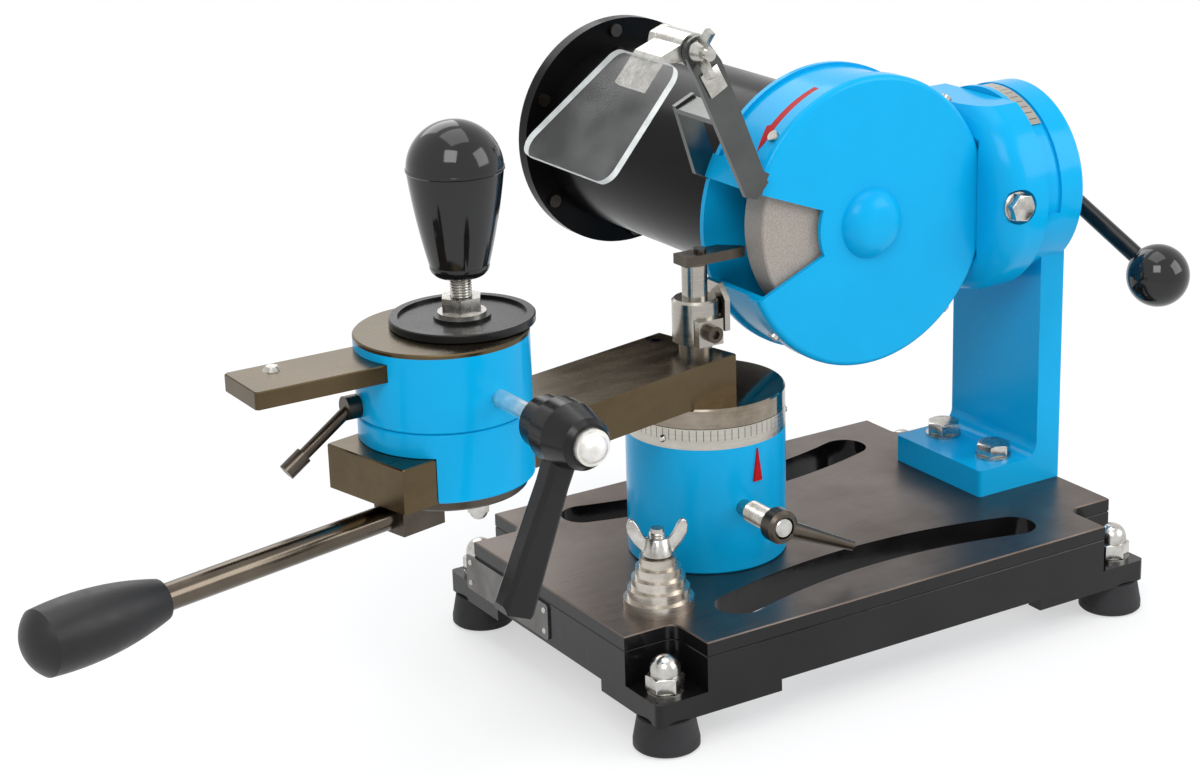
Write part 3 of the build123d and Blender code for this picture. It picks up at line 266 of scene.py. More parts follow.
def paintedFinish(name, colour, gloss, grain, strength, depth, coat, variation, patch, shine):
    fixed = {"Coat Weight": coat, "Coat Roughness": paintTexture["coatRoughness"]}
    finish = Finish(name, {**fixed, "Specular IOR Level": shine})
    dark, light = shade(colour, 1 - variation), shade(colour, 1 + variation)
    finish.feed("Base Color", finish.blend(finish.pattern("cloud", patch), dark, light))
    smear = finish.pattern("smear", patch * paintTexture["smearScale"])
    finish.feed("Roughness", ranged(gloss, smear))
    pits = finish.noise(grain, 3, 0.55)
    waves = finish.noise(grain / paintTexture["waveScale"], 2, 0.5)
    finish.relief(pits * paintTexture["pits"] + waves * paintTexture["waves"], strength, depth)
    return finish.material


def metalFinish(name, colour, stainColour, gloss, streaks, strength, patch, amount, marks=None):
    finish = Finish(name, {"Metallic": 1.0, "Specular IOR Level": 0.5})
    stain = finish.pattern("stain", patch) * amount
    lines = finish.noise(1.0, 3, 0.6, finish.stretched(streaks))
    dark, light = (shade(colour, factor) for factor in metalTexture["streakShades"])
    tone = finish.blend(finish.between(lines, 0.3, 0.7), dark, light)
    tone = finish.blend(stain, tone, stainColour)
    if marks:
        tone = finish.blend(marks(finish), tone, metalTexture["grime"])
    finish.feed("Base Color", tone)
    dull = ranged(gloss, finish.between(lines, 0.3, 0.75))
    finish.feed("Roughness", dull + stain * metalTexture["stainDullness"])
    if strength:
        finish.relief(lines, strength, metalTexture["streakDepth"])
    return finish.material


# engraved lines: each band has a centre, the axis they stand around, degrees between lines,
# line width in degrees, the span along the axis in metres, and how dark the lines are
engraving = {
    "ringScale": {
        "centre": (0.0, 0.0), "axes": ("X", "Y", "Z"), "step": 5.0, "line": 0.55,
        "span": (0.1215, 0.1270), "darkness": 0.8,
    },
    "tiltMarks": {
        "centre": (0.004, 0.212), "axes": ("Y", "Z", "X"), "step": 5.0, "line": 0.6,
        "span": (0.1820, 0.1868), "darkness": 0.8,
    },
}


def engravedMarks(plan):
    def marks(finish):
        axes = finish.add("ShaderNodeSeparateXYZ", {}, {"Vector": finish.place})
        across = axes.out(plan["axes"][0]) - plan["centre"][0]
        along = axes.out(plan["axes"][1]) - plan["centre"][1]
        level = axes.out(plan["axes"][2])
        turn = across.math("ARCTAN2", along, across) * (180 / math.pi) + 360.0
        spot = turn.math("FLOORED_MODULO", turn, plan["step"])
        line = spot.math("LESS_THAN", spot, plan["line"])
        above = level.math("GREATER_THAN", level, plan["span"][0])
        below = level.math("LESS_THAN", level, plan["span"][1])
        return line * above * below * plan["darkness"]
    return marks


finishes = {name: paintedFinish(name, *values) for name, values in painted.items()}
finishes.update({name: metalFinish(name, *values) for name, values in metals.items()})
for name, plan in engraving.items():
    finishes[name] = metalFinish(name, *metals["scaleSteel"], engravedMarks(plan))


# the eye shield's sheet and its cut edge: colour, and how solid and how rough, clean and worn; the
# edge's pale tint is partly a frosted cut and partly a painted highlight
sheet = {
    "gloss": 0.6,
    "tint": (0.45, 0.46, 0.45, 1),
    "hazeScale": 28,
    "solid": (0.07, 0.19),
    "roughness": (0.05, 0.20),
    "edgeTintAndHighlight": (0.80, 0.83, 0.82, 1),
    "edgeScale": 120,
    "edgeSolid": (0.70, 0.95),
    "edgeRoughness": (0.2, 0.5),
}

# the grinding wheel: its two grain colours, the bright specks, and how many to the metre
grit = {
    "pale": (0.37, 0.325, 0.285),
    "dark": (0.28, 0.245, 0.215),
    "speck": (0.52, 0.49, 0.45),
    "grains": 1500,
    "specks": 2600,
    "roughness": (0.62, 0.77),
    "relief": (0.25, 0.0003),
}


def clearSheet():
    fixed = {"Base Color": sheet["tint"], "Specular IOR Level": sheet["gloss"]}
    finish = Finish("clearSheet", fixed)
    haze = finish.pattern("haze", sheet["hazeScale"])
    finish.feed("Alpha", ranged(sheet["solid"], haze))
    finish.feed("Roughness", ranged(sheet["roughness"], haze))
    return finish.material


# the cut edge is tinted pale and nearly solid: partly a frosted cut edge, partly a painted
# highlight, with uneven wear and sheen
def sheetEdge():
    fixed = {"Base Color": sheet["edgeTintAndHighlight"], "Specular IOR Level": sheet["gloss"]}
    finish = Finish("sheetEdge", fixed)
    edgeWearAndSheen = finish.noise(sheet["edgeScale"], 3, 0.6)
    finish.feed("Alpha", ranged(sheet["edgeSolid"], finish.between(edgeWearAndSheen, 0.4, 0.7)))
    finish.feed("Roughness", ranged(sheet["edgeRoughness"], edgeWearAndSheen))
    return finish.material


def wheelGrit():
    finish = Finish("wheelGrit", {"Specular IOR Level": 0.35})
    cells = {"Vector": finish.place, "Scale": grit["grains"]}
    grains = finish.add("ShaderNodeTexVoronoi", {}, cells)
    grain = finish.between(grains.out("Distance"), 0.1, 0.7)
    speck = finish.pattern("sparkle", grit["specks"])
    tone = finish.blend(grain, grit["pale"], grit["dark"])
    finish.feed("Base Color", finish.blend(speck, tone, grit["speck"]))
    finish.feed("Roughness", ranged(grit["roughness"], grain))
    finish.relief(grain + speck * 0.4, *grit["relief"])
    return finish.material


finishes.update(clearSheet=clearSheet(), sheetEdge=sheetEdge(), wheelGrit=wheelGrit())
print("finishes made")

# which finish each frame part shows
wearing = {
    "castBlack": ["base_casting"],
    "tableSteel": ["table_top"],
    "bareAlloy": ["name_plate"],
    "footRubber": ["rubber_feet"],
    "blueEnamel": [
        "column", "pivot_housing", "head_base", "head_body", "tilt_drum", "guard_shell",
        "guard_cover",
    ],
    "brightZinc": [
        "foot_studs", "washers", "acorn_nuts", "column_bolts", "housing_screws", "ring_pins",
        "cone_stud", "wing_nut", "pivot_lever", "blade_stud", "blade_nut", "index_screw",
        "tilt_stud", "drum_bolt", "case_screws", "shield_clamp",
    ],
    "satinZinc": ["clamp_screw"],
    "coneSteel": ["centring_cone"],
    "rodSteel": ["feed_rod"],
    "motorBlack": ["motor_body", "motor_cover"],
    "polishedDisc": ["turntable_disc"],
    "turnedSteel": ["rest_post", "rest_collar", "motor_shaft", "wheel_flanges"],
    "ringScale": ["scale_ring"],
    "tiltMarks": ["tilt_scale"],
    "springSteel": ["shield_bracket"],
    "darkSteel": ["pivot_handle", "tooth_finger", "head_plate", "lock_lever", "collar_screw"],
    "barSteel": ["arm_bar", "index_bar", "head_cap"],
    "satinBlack": ["arm_screws", "blade_flange", "clamp_lever", "tilt_lever"],
    "glossPlastic": ["pear_knob", "ball_knob"],
    "mattePlastic": ["feed_grip"],
    "redLacquer": ["pivot_pointer"],
    "clearSheet": ["shield_pane"],
    "wheelGrit": ["grinding_wheel"],
    "windingCore": ["motor_stator"],
}


def dress(piece, finish):
    piece.data.materials.clear()
    piece.data.materials.append(finishes[finish])


def dressFaces(piece, finish, wanted):
    # gives some faces of a piece a second finish, chosen by their middle and their normal
    piece.data.materials.append(finishes[finish])
    slot = len(piece.data.materials) - 1
    for face in piece.data.polygons:
        if wanted(face.center, face.normal):
            face.material_index = slot


for finish, names in wearing.items():
    for name in names:
        dress(nodes[name], finish)


def jointPlace(name):
    return next(joint for joint in frame["joints"] if joint["name"] == name)["pos_m"]


# where a second finish starts: lengths in millimetres, and the cosines of two leans
secondFinish = {
    "tableSide": 0.6,
    "bandReach": 9.2,  # past the guard's rim
    "bandEdge": 3.2,  # in from the bracket's edges
    "rearScrews": 100.0,
    "sheetSide": 0.9,
    "plateNut": (0.0, -27.0, -9.6),  # from the middle and the bottom of the head
    "plateNutReach": 6.2,
}
guardLow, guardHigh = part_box("guard_cover")
spindle = jointPlace("spindle_spin")
guardCentre = Vector((spindle[0], 0, (guardLow.z + guardHigh.z) / 2))
guardRadius = (guardHigh.z - guardLow.z) / 2
legLow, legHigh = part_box("shield_bracket")


def onGuardBand(middle, normal):
    reach = math.hypot(middle.x - guardCentre.x, middle.z - guardCentre.z)
    edge = secondFinish["bandEdge"] * mm
    within = legLow.y + edge < middle.y < legHigh.y - edge
    return within and reach < guardRadius + secondFinish["bandReach"] * mm


def onTableSide(middle, normal):
    return abs(normal.z) < secondFinish["tableSide"]


def onRearScrews(middle, normal):
    return middle.y > secondFinish["rearScrews"] * mm


def onSheetSide(middle, normal):
    return abs(normal.dot(sheetFlat)) < secondFinish["sheetSide"]


def onPlateNut(middle, normal):
    return (middle - plateNut).length < secondFinish["plateNutReach"] * mm


sheetFlat = max(nodes["shield_pane"].data.polygons, key=lambda face: face.area).normal.copy()
baseLow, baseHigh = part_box("head_base")
plateNut = Vector(((baseLow.x + baseHigh.x) / 2, (baseLow.y + baseHigh.y) / 2, baseLow.z))
plateNut += Vector(secondFinish["plateNut"]) * mm
dressFaces(nodes["table_top"], "castBlack", onTableSide)
dressFaces(nodes["shield_bracket"], "blueEnamel", onGuardBand)
dressFaces(nodes["case_screws"], "darkSteel", onRearScrews)
# the sheet's narrow sides get the pale edge finish, which is in part a painted highlight
dressFaces(nodes["shield_pane"], "sheetEdge", onSheetSide)
dressFaces(nodes["head_plate"], "brightZinc", onPlateNut)


def deselect():
    if bpy.context.mode != "OBJECT":
        bpy.ops.object.mode_set(mode="OBJECT")
    bpy.ops.object.select_all(action="DESELECT")


def pick(piece):
    deselect()
    piece.select_set(True)
    bpy.context.view_layer.objects.active = piece
    return piece


smoothBelow = 32  # degrees between faces of a frame part

for node in nodes.values():
    pick(node)
    bpy.ops.object.shade_smooth_by_angle(angle=math.radians(smoothBelow))
print("frame parts dressed")


def newPiece(name):
    piece = bpy.context.object
    piece.name = name
    piece.data.name = name
    return piece


def drawLine(name, points):
    # a chain of edges through the points, left in edit mode with all of it selected
    deselect()
    bpy.ops.mesh.primitive_plane_add(size=0.01)
    piece = newPiece(name)
    bpy.ops.object.mode_set(mode="EDIT")
    bpy.ops.mesh.select_all(action="SELECT")
    bpy.ops.mesh.merge(type="CENTER")
    bpy.ops.transform.translate(value=points[0])
    for before, after in zip(points, points[1:]):
        step = [end - start for start, end in zip(before, after)]
        bpy.ops.mesh.extrude_vertices_move(TRANSFORM_OT_translate={"value": step})
    bpy.ops.mesh.select_all(action="SELECT")
    return piece


sameSpot = 0.000004  # metres: points nearer than this are one


def closeUp():
    bpy.ops.mesh.select_all(action="SELECT")
    bpy.ops.mesh.remove_doubles(threshold=sameSpot)
    bpy.ops.mesh.normals_make_consistent(inside=False)
    bpy.ops.object.mode_set(mode="OBJECT")


def turned(name, profile, steps=40):
    # profile is (radius, height) in millimetres, from the axis and back to it
    piece = drawLine(name, [(radius * mm, 0, height * mm) for radius, height in profile])
    bpy.ops.mesh.spin(steps=steps, angle=2 * math.pi, center=(0, 0, 0), axis=(0, 0, 1))
    closeUp()
    return piece


def slab(name, outline, thickness):
    # a flat plate with the outline, in millimetres, standing up by its thickness
    points = [(x * mm, y * mm, 0) for x, y in outline]
    piece = drawLine(name, points)
    bpy.ops.mesh.edge_face_add()
    bpy.ops.mesh.select_all(action="SELECT")
    bpy.ops.mesh.extrude_region_move(TRANSFORM_OT_translate={"value": (0, 0, thickness * mm)})
    closeUp()
    return piece


def finishWith(piece, kind, **settings):
    pick(piece)
    modifier = piece.modifiers.new(kind.lower(), kind)
    for key, value in settings.items():
        setattr(modifier, key, value)
    bpy.ops.object.modifier_apply(modifier=modifier.name)
    return piece


def soften(piece, width, segments=2, sharpest=40):
    # rounds the edges that turn by more than so many degrees, by a width in millimetres
    limit = math.radians(sharpest)
    settings = {"width": width * mm, "segments": segments, "limit_method": "ANGLE"}
    return finishWith(piece, "BEVEL", angle_limit=limit, **settings)


def merge(first, *others):
    pick(first)
    for other in others:
        other.select_set(True)
    bpy.ops.object.join()
    return first


def settle(piece, place, axis, spin=0.0, upright=None):
    # moves a piece built around +Z to its place, with the place kept in its mesh
    pick(piece)
    up = Vector(axis).normalized()
    if upright is None:
        turn = up.to_track_quat("Z", "Y").to_matrix()
    else:
        side = Vector(upright).normalized()
        turn = Matrix((side, up.cross(side), up)).transposed()
    piece.matrix_world = (
        Matrix.Translation(place) @ turn.to_4x4() @ Matrix.Rotation(math.radians(spin), 4, "Z")
    )
    bpy.ops.object.transform_apply(location=True, rotation=True, scale=True)
    return piece


def present(piece, finish, body, angle=35):
    pick(piece)
    bpy.ops.object.shade_smooth_by_angle(angle=math.radians(angle))
    dress(piece, finish)
    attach(piece, body)
    return piece


hexShape = {"flatShare": 0.94, "chamferSlope": 0.5, "spare": 0.2, "steps": 48}


def hexHead(name, flats, height, both=False):
    # a hexagon cut round by its chamfer, as a real nut or bolt head is
    radius = flats / math.sqrt(3)
    size = {"radius": radius * mm, "depth": height * mm, "location": (0, 0, height * mm / 2)}
    deselect()
    bpy.ops.mesh.primitive_cylinder_add(vertices=6, **size)
    head = newPiece(name)
    pick(head)
    bpy.ops.object.transform_apply(location=True, rotation=True, scale=True)
    flat = flats / 2 * hexShape["flatShare"]
    chamfer = (radius - flat) * hexShape["chamferSlope"]
    outside = radius + hexShape["spare"]
    low = [(0, 0), (flat, 0), (outside, chamfer)] if both else [(0, 0), (outside, 0)]
    high = [(outside, height - chamfer), (flat, height), (0, height)]
    blank = turned(name + "Blank", low + high, hexShape["steps"])
    finishWith(head, "BOOLEAN", operation="INTERSECT", object=blank, solver="EXACT")
    bpy.data.objects.remove(blank)
    return head


# cap nuts on the four corner studs, in millimetres
capNut = {
    "flats": 16.0,
    "hexHeight": 8.0,
    "domeRadius": 7.4,
    "rise": 2.1,  # straight part under the round end
    "sunk": 1.0,
    "shoulder": 0.6,
    "domeSteps": 8,
    "edge": 0.25,
}


def buildCapNuts():
    low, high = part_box("acorn_nuts")
    half = capNut["flats"] / math.sqrt(3) * mm
    edge = capNut["flats"] / 2 * mm
    radius, start, steps = capNut["domeRadius"], capNut["hexHeight"], capNut["domeSteps"]
    foot, top = start - capNut["sunk"], start + capNut["rise"]
    dome = [(0, foot), (radius - capNut["shoulder"], foot), (radius, start), (radius, top)]
    for step in range(1, steps):
        angle = math.radians(step * 90 / steps)
        dome.append((radius * math.cos(angle), top + radius * math.sin(angle)))
    dome.append((0, top + radius))
    across, along = (low.x + half, high.x - half), (low.y + edge, high.y - edge)
    for count, (x, y) in enumerate([(x, y) for x in across for y in along]):
        nut = hexHead("capNut%d" % count, capNut["flats"], capNut["hexHeight"], True)
        merge(nut, turned("dome", dome, 32))
        settle(nut, (x, y, low.z), (0, 0, 1))
        soften(nut, capNut["edge"])
        present(nut, "brightZinc", "base")
        if count == 0:
            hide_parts("acorn_nuts")


buildCapNuts()
print("cap nuts made")

# the two bolts that hold the column down, and the bolt in the front of the tilting drum
boltHeads = {
    "columnFlats": 16.0,
    "columnHeight": 6.5,
    "columnShank": [(0, -23), (4.3, -23), (5, -22), (5, 0.5), (0, 0.5)],
    "columnTurn": 12,  # degrees, and how much further the second one is turned
    "columnTurnMore": 9,
    "drumFlats": 13.0,
    "drumHeight": 5.5,
    "drumShank": [(0, -20), (3.6, -20), (4, -19), (4, -1), (0, -1)],
    "drumTurn": 20,
    "washer": [(0, -1.5), (7.7, -1.5), (8.0, -1.2), (8.0, -0.4), (7.5, 0), (0, 0)],
    "edge": 0.3,
}


def buildBoltHeads():
    low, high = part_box("column_bolts")
    edge = boltHeads["columnFlats"] / 2 * mm
    middle = (low.x + high.x) / 2
    for count, y in enumerate((low.y + edge, high.y - edge)):
        head = hexHead("columnBolt%d" % count, boltHeads["columnFlats"], boltHeads["columnHeight"])
        merge(head, turned("shank", boltHeads["columnShank"], 32))
        seat = (middle, y, high.z - boltHeads["columnHeight"] * mm)
        turn = boltHeads["columnTurn"] + boltHeads["columnTurnMore"] * count
        settle(head, seat, (0, 0, 1), spin=turn)
        soften(head, boltHeads["edge"])
        present(head, "brightZinc", "base")
        if count == 0:
            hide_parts("column_bolts")
    low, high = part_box("drum_bolt")
    middle = (low + high) / 2
    head = hexHead("drumBolt", boltHeads["drumFlats"], boltHeads["drumHeight"])
    washer = turned("washer", boltHeads["washer"], 40)
    shank = turned("shank", boltHeads["drumShank"], 28)
    merge(head, washer, shank)
    seat = (middle.x, low.y + boltHeads["drumHeight"] * mm, middle.z)
    settle(head, seat, (0, -1, 0), spin=boltHeads["drumTurn"])
    soften(head, boltHeads["edge"])
    present(head, "brightZinc", "grinder")
    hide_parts("drum_bolt")


buildBoltHeads()
print("bolt heads made")

# threaded rods, in millimetres: the plain length comes before the thread
threads = {
    "pitch": 1.25,
    "depth": 0.7,
    "runIn": 0.3,
    "runOut": 0.8,
    "bladeStud": {"radius": 5.0, "tip": 4.0, "plain": 30.0, "foot": [(0, 0), (4.4, 0), (5, 0.8)]},
    "coneStud": {"radius": 4.0, "tip": 3.1, "plain": 39.0, "foot": [(0, 5.4), (4, 5.4)]},
    "coneHead": {"flats": 13.0, "height": 5.5},
    "clamp": {
        "radius": 5.5,
        "collar": 25.0,  # from the top end
        "point": [(0, 0), (3.95, 0)],
        "neck": [(3.95, -6), (4.9, -3)],
        "thread": (-2.6, 8.0),
        "hub": [(5.3, -7.6), (5.3, -1), (4.4, 0)],
    },
    "smoothBelow": 20,
}


def threadProfile(radius, start, end):
    profile = []
    level = start
    while level + threads["pitch"] <= end:
        profile += [(radius - threads["depth"], level), (radius, level + threads["pitch"] * 0.5)]
        level += threads["pitch"]
    return profile + [(radius - threads["depth"], level)]


def studProfile(plan, length):
    radius, plain = plan["radius"], plan["plain"]
    cut = threadProfile(radius, plain + threads["runIn"], length - threads["runOut"])
    return plan["foot"] + [(radius, plain)] + cut + [(plan["tip"], length), (0, length)]


def buildThreads():
    smooth = threads["smoothBelow"]
    low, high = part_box("blade_stud")
    middle = (low + high) / 2
    stud = turned("bladeStud", studProfile(threads["bladeStud"], (high.z - low.z) / mm), 36)
    settle(stud, (middle.x, middle.y, low.z), (0, 0, 1))
    present(stud, "brightZinc", "head", smooth)
    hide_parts("blade_stud")
    low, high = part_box("cone_stud")
    middle = (low + high) / 2
    stud = turned("coneStud", studProfile(threads["coneStud"], (high.z - low.z) / mm), 32)
    head = threads["coneHead"]
    merge(stud, hexHead("coneStudHead", head["flats"], head["height"]))
    settle(stud, (middle.x, middle.y, low.z), (0, 0, 1))
    present(stud, "brightZinc", "base", smooth)
    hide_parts("cone_stud")
    low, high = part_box("pivot_lever")
    middle = (low + high) / 2
    length = (high.y - low.y) / mm
    clamp = threads["clamp"]
    collar = length - clamp["collar"]
    profile = clamp["point"] + [(radius, collar + level) for radius, level in clamp["neck"]]
    first, last = clamp["thread"]
    profile += threadProfile(clamp["radius"], collar + first, length - last)
    profile += [(radius, length + level) for radius, level in clamp["hub"]] + [(0, length)]
    screw = turned("pivotClampScrew", profile, 36)
    settle(screw, (middle.x, high.y, middle.z), (0, -1, 0))
    present(screw, "brightZinc", "pivot_clamp", smooth)
    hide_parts("pivot_lever")


buildThreads()
print("threads cut")

# wing nut over the centring cone, in millimetres; the outline is of one wing
wingNut = {
    "baseRadius": 7.4,
    "topRadius": 5.6,
    "height": 9.0,
    "bore": 4.05,
    "baseEdge": (0.6, 0.8),
    "topEdge": 0.8,
    "thickness": 3.0,
    "roundness": 0.9,
    "heading": -32.0,
    "outline": [
        (5.0, 1.2), (7.6, 1.6), (11.4, 6.4), (14.2, 11.5), (14.6, 15.5),
        (13.4, 18.4), (11.2, 18.2), (9.4, 15.8), (7.4, 11.6), (5.0, 8.2),
    ],
}


def buildWingNut():
    low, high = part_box("wing_nut")
    coneLow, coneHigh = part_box("centring_cone")
    cone = (coneLow + coneHigh) / 2
    radius, top, bore = wingNut["baseRadius"], wingNut["topRadius"], wingNut["bore"]
    height, edge = wingNut["height"], wingNut["topEdge"]
    inset, rise = wingNut["baseEdge"]
    body = [(bore, 0), (radius - inset, 0), (radius, rise), (top, height - edge)]
    body += [(top - edge, height), (bore, height), (bore, 0)]
    nut = turned("wingNut", body, 36)
    wings = []
    for side in (-1, 1):
        outline = [(side * x, y) for x, y in wingNut["outline"]]
        wing = slab("wing", outline, wingNut["thickness"])
        settle(wing, (0, wingNut["thickness"] * mm / 2, 0), (0, -1, 0), upright=(1, 0, 0))
        wings.append(soften(wing, wingNut["roundness"], 3, 50))
    merge(nut, *wings)
    settle(nut, (cone.x, cone.y, low.z), (0, 0, 1), spin=wingNut["heading"])
    present(nut, "brightZinc", "wing", 40)
    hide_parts("wing_nut")


buildWingNut()
print("wing nut made")

# red arrow on the guard, which shows the way the wheel turns: angles in degrees, the rest in
# millimetres
arrow = {
    "from": 108.0,
    "neck": 133.0,
    "tip": 144.0,
    "middle": -12.6,
    "shaft": 2.5,  # half widths
    "head": 4.7,
    "point": 0.03,  # width left at the tip, as a share of the head
    "inset": 1.7,  # from the guard's rim to its band
    "lift": 0.12,
    "thickness": 0.2,
    "steps": 36,
    "slack": 0.3,  # less than one step, so that the neck falls between two
}


def buildArrow():
    radius = guardRadius - arrow["inset"] * mm + arrow["lift"] * mm
    start = math.radians(arrow["from"])
    spread = math.radians(arrow["tip"] - arrow["from"])
    rim = (guardCentre.x + radius * math.cos(start), guardCentre.z + radius * math.sin(start))
    left, right = ((arrow["middle"] + side * arrow["head"]) * mm for side in (-1, 1))
    piece = drawLine("turnArrow", [(rim[0], left, rim[1]), (rim[0], right, rim[1])])
    around = {"center": (guardCentre.x, 0, guardCentre.z), "axis": (0, 1, 0)}
    bpy.ops.mesh.spin(steps=arrow["steps"], angle=spread, **around)
    bpy.ops.object.mode_set(mode="OBJECT")
    for vertex in piece.data.vertices:
        away = vertex.co - guardCentre
        turn = math.degrees(math.atan2(away.z, away.x))
        if not arrow["from"] - 1 < turn < arrow["tip"] + 1:
            raise SystemExit("the arrow turned the wrong way")
        share = min(1, max(0, (arrow["tip"] - turn) / (arrow["tip"] - arrow["neck"])))
        onShaft = turn < arrow["neck"] - arrow["slack"]
        width = arrow["shaft"] if onShaft else arrow["head"] * max(share, arrow["point"])
        side = 1 if vertex.co.y > arrow["middle"] * mm else -1
        vertex.co.y = (arrow["middle"] + side * width) * mm
    finishWith(piece, "SOLIDIFY", thickness=arrow["thickness"] * mm, offset=0)
    pick(piece)
    bpy.ops.object.mode_set(mode="EDIT")
    closeUp()
    present(piece, "redLacquer", "grinder")


buildArrow()
print("arrow painted")

# rivets that hold the bare plate, and the raised ring where the knob's two halves meet
trim = {
    "rivetRadius": 1.6,
    "rivetHeight": 0.9,
    "rivetInset": 4.0,
    "rivetSunk": 0.6,
    "rivetLift": 0.1,
    "rivetTurns": (0.4, 0.8, 1.2),  # radians up the dome
    "ringRise": 0.35,
    "ringRoot": 0.7,  # how far its inside is under the knob's surface
    "ringFoot": 0.05,
    "ringHalfWidths": (0.45, 0.9),
}


def buildTrim():
    low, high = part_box("name_plate")
    inset = trim["rivetInset"] * mm
    radius, rise, sunk = trim["rivetRadius"], trim["rivetHeight"], trim["rivetSunk"]
    dome = [(0, -sunk), (radius, -sunk), (radius, 0)]
    dome += [(radius * math.cos(turn), rise * math.sin(turn)) for turn in trim["rivetTurns"]]
    dome.append((0, rise))
    along, upwards = (low.y + inset, high.y - inset), (low.z + inset, high.z - inset)
    for count, (y, z) in enumerate([(y, z) for y in along for z in upwards]):
        rivet = turned("plateRivet%d" % count, dome, 20)
        settle(rivet, (low.x + trim["rivetLift"] * mm, y, z), (-1, 0, 0))
        present(rivet, "brightZinc", "base")
    low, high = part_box("pear_knob")
    middle = (low + high) / 2
    half = (high.x - low.x) / 2
    reach = half / mm
    root, foot = reach - trim["ringRoot"], reach - trim["ringFoot"]
    crest = reach + trim["ringRise"]
    near, far = trim["ringHalfWidths"]
    band = [(root, -far), (foot, -far), (crest, -near), (crest, near), (foot, far), (root, far)]
    ring = turned("knobRing", band + band[:1], 72)
    settle(ring, (middle.x, middle.y, high.z - half), (0, 0, 1))
    present(ring, "glossPlastic", "knob")


buildTrim()
print("trim made")

# spring clip on the shield's front leg and the nut on its hinge, in millimetres
shieldTrim = {
    "clipLength": 13.0,
    "clipWidth": 10.5,
    "clipThickness": 1.2,
    "clipEdge": 0.5,
    "clipPlace": 17,  # down the leg from the hinge
    "legFoot": (-0.906, 0.4226),  # where the leg meets the guard, in guard radii
    "legFootMore": (1.5, -3),
    "nutFlats": 15.0,
    "nutHeight": 6.0,
    "nutPlace": -6,
    "nutTurn": 10,  # degrees
    "nutEdge": 0.3,
    "crown": [(0, 5), (5.4, 5), (5.4, 6.4), (4.6, 8.2), (2.6, 9.4), (0, 9.8)],
}


def buildShieldTrim():
    low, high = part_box("shield_bracket")
    hinge = jointPlace("shield_hinge")
    across, upwards = shieldTrim["legFoot"]
    moreAcross, moreUp = shieldTrim["legFootMore"]
    foot = guardCentre + Vector((across, 0, upwards)) * guardRadius
    downLeg = foot + Vector((moreAcross, 0, moreUp)) * mm - Vector((hinge[0], 0, hinge[2]))
    downLeg.normalize()
    spot = Vector((hinge[0], low.y, hinge[2])) + downLeg * shieldTrim["clipPlace"] * mm
    long, wide = shieldTrim["clipLength"] / 2, shieldTrim["clipWidth"] / 2
    outline = [(-long, -wide), (long, -wide), (long, wide), (-long, wide)]
    clip = slab("shieldClip", outline, shieldTrim["clipThickness"])
    soften(clip, shieldTrim["clipEdge"], 2, 50)
    settle(clip, spot, (0, -1, 0), upright=downLeg)
    present(clip, "brightZinc", "grinder")
    nut = hexHead("shieldNut", shieldTrim["nutFlats"], shieldTrim["nutHeight"], True)
    merge(nut, turned("nutCrown", shieldTrim["crown"], 32))
    seat = (hinge[0], shieldTrim["nutPlace"] * mm, hinge[2])
    settle(nut, seat, (0, 1, 0), spin=shieldTrim["nutTurn"])
    soften(nut, shieldTrim["nutEdge"])
    present(nut, "brightZinc", "shield")


buildShieldTrim()
print("shield trim made")

# studio: floor, lamps and the air around, in metres and watts
studio = {
    "floorSize": 6.0,
    "floorDrop": 0.0005,
    "floorColour": (0.9, 0.9, 0.9, 1),
    "floorGlow": 0.55,  # near the object, growing to 1 from near to far
    "floorNear": 0.40,
    "floorFar": 1.10,
    "lamps": [
        # name, place, size, watts
        ("keyLamp", (-1.1, -1.2, 1.6), 1.0, 17),
        ("fillLamp", (1.3, -1.4, 1.1), 1.2, 16),
        ("backLamp", (0.2, 1.6, 1.5), 1.3, 11),
        ("topLamp", (0.0, 0.0, 2.1), 1.4, 12),
    ],
    "aim": (0.0, 0.0, 0.15),
    "air": (0.95, 0.97, 1.0, 1),
    "airStrength": 0.66,
    "white": (1, 1, 1, 1),
}
whiteRays = ("Is Camera Ray", "Is Glossy Ray", "Is Transmission Ray")


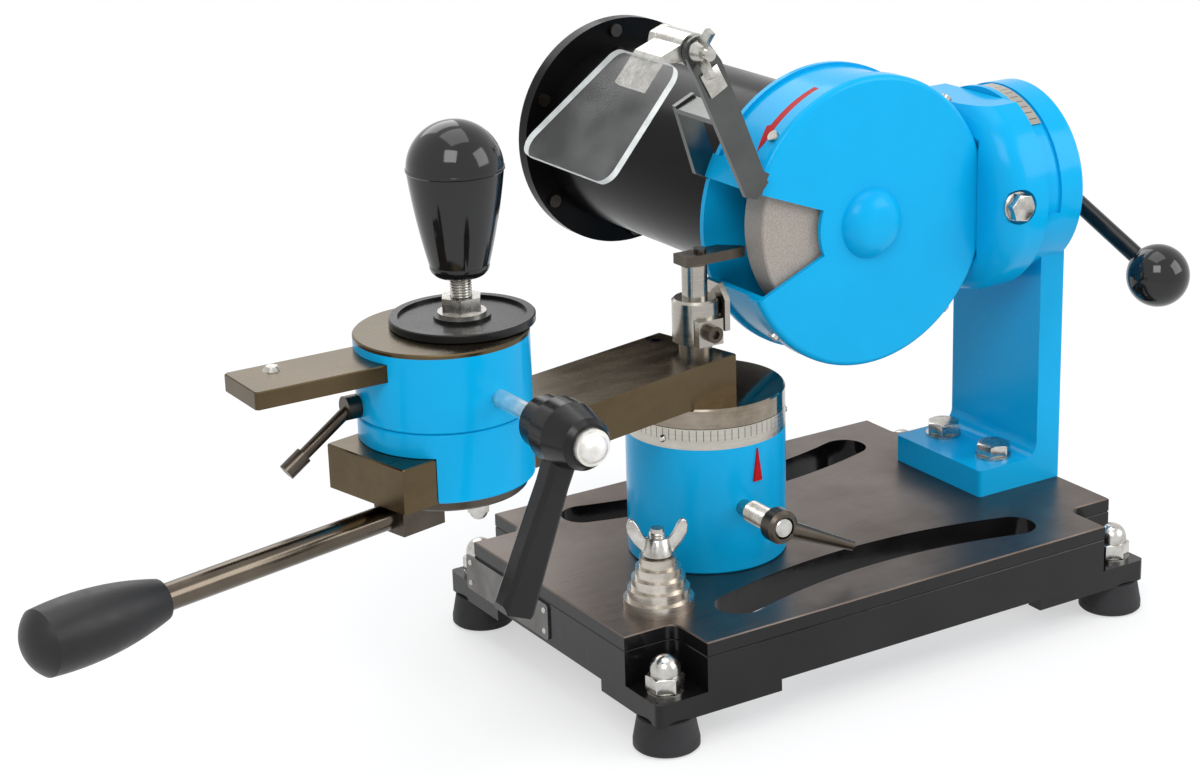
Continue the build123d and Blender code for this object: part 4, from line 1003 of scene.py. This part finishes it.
def buildFloor():
    deselect()
    place = (0, 0, -studio["floorDrop"])
    bpy.ops.mesh.primitive_plane_add(size=studio["floorSize"], location=place)
    floor = newPiece("floor")
    fixed = {"Roughness": 0.9, "Base Color": studio["floorColour"], "Specular IOR Level": 0.1}
    pale = Finish("paleFloor", fixed)
    rays = pale.add("ShaderNodeLightPath", {}, {})
    seen = rays.out(whiteRays[0])
    for ray in whiteRays[1:]:
        seen = seen.math("MAXIMUM", seen, rays.out(ray))
    reach = pale.add("ShaderNodeVectorMath", {"operation": "LENGTH"}, {0: pale.place})
    away = pale.between(reach, studio["floorNear"], studio["floorFar"])
    seen = seen * (studio["floorGlow"] + away * (1 - studio["floorGlow"]))
    glow = pale.add("ShaderNodeEmission", {}, {"Color": studio["white"], "Strength": 1.0})
    end = next(node for node in pale.tree.nodes if node.type == "OUTPUT_MATERIAL")
    mix = pale.add("ShaderNodeMixShader", {}, {0: seen, 2: glow})
    pale.tree.links.new(pale.shader.outputs[0], mix.node.inputs[1])
    pale.tree.links.new(mix.socket, end.inputs["Surface"])
    floor.data.materials.append(pale.material)


def hangLamps():
    for name, place, size, watts in studio["lamps"]:
        lamp = bpy.data.objects.new(name, bpy.data.lights.new(name, "AREA"))
        bpy.context.scene.collection.objects.link(lamp)
        lamp.data.size = size
        lamp.data.energy = watts
        lamp.location = place
        aim = Vector(studio["aim"]) - Vector(place)
        lamp.rotation_euler = aim.to_track_quat("-Z", "Y").to_euler()


def fillAir():
    # soft light for the object, and plain white where the background itself is seen
    world = bpy.data.worlds.new("studio")
    bpy.context.scene.world = world
    world.use_nodes = True
    tree = world.node_tree
    tree.nodes.clear()
    rays = tree.nodes.new("ShaderNodeLightPath").outputs
    seen = rays[whiteRays[0]]
    for ray in whiteRays[1:]:
        either = tree.nodes.new("ShaderNodeMath")
        either.operation = "MAXIMUM"
        tree.links.new(seen, either.inputs[0])
        tree.links.new(rays[ray], either.inputs[1])
        seen = either.outputs[0]
    mix = tree.nodes.new("ShaderNodeMixShader")
    end = tree.nodes.new("ShaderNodeOutputWorld")
    tree.links.new(seen, mix.inputs[0])
    skies = ((studio["air"], studio["airStrength"]), (studio["white"], 1.0))
    for slot, (colour, strength) in enumerate(skies, start=1):
        sky = tree.nodes.new("ShaderNodeBackground")
        sky.inputs["Color"].default_value = colour
        sky.inputs["Strength"].default_value = strength
        tree.links.new(sky.outputs[0], mix.inputs[slot])
    tree.links.new(mix.outputs[0], end.inputs[0])


def buildStudio():
    buildFloor()
    hangLamps()
    fillAir()


buildStudio()
print("studio built")

bpy.context.view_layer.update()
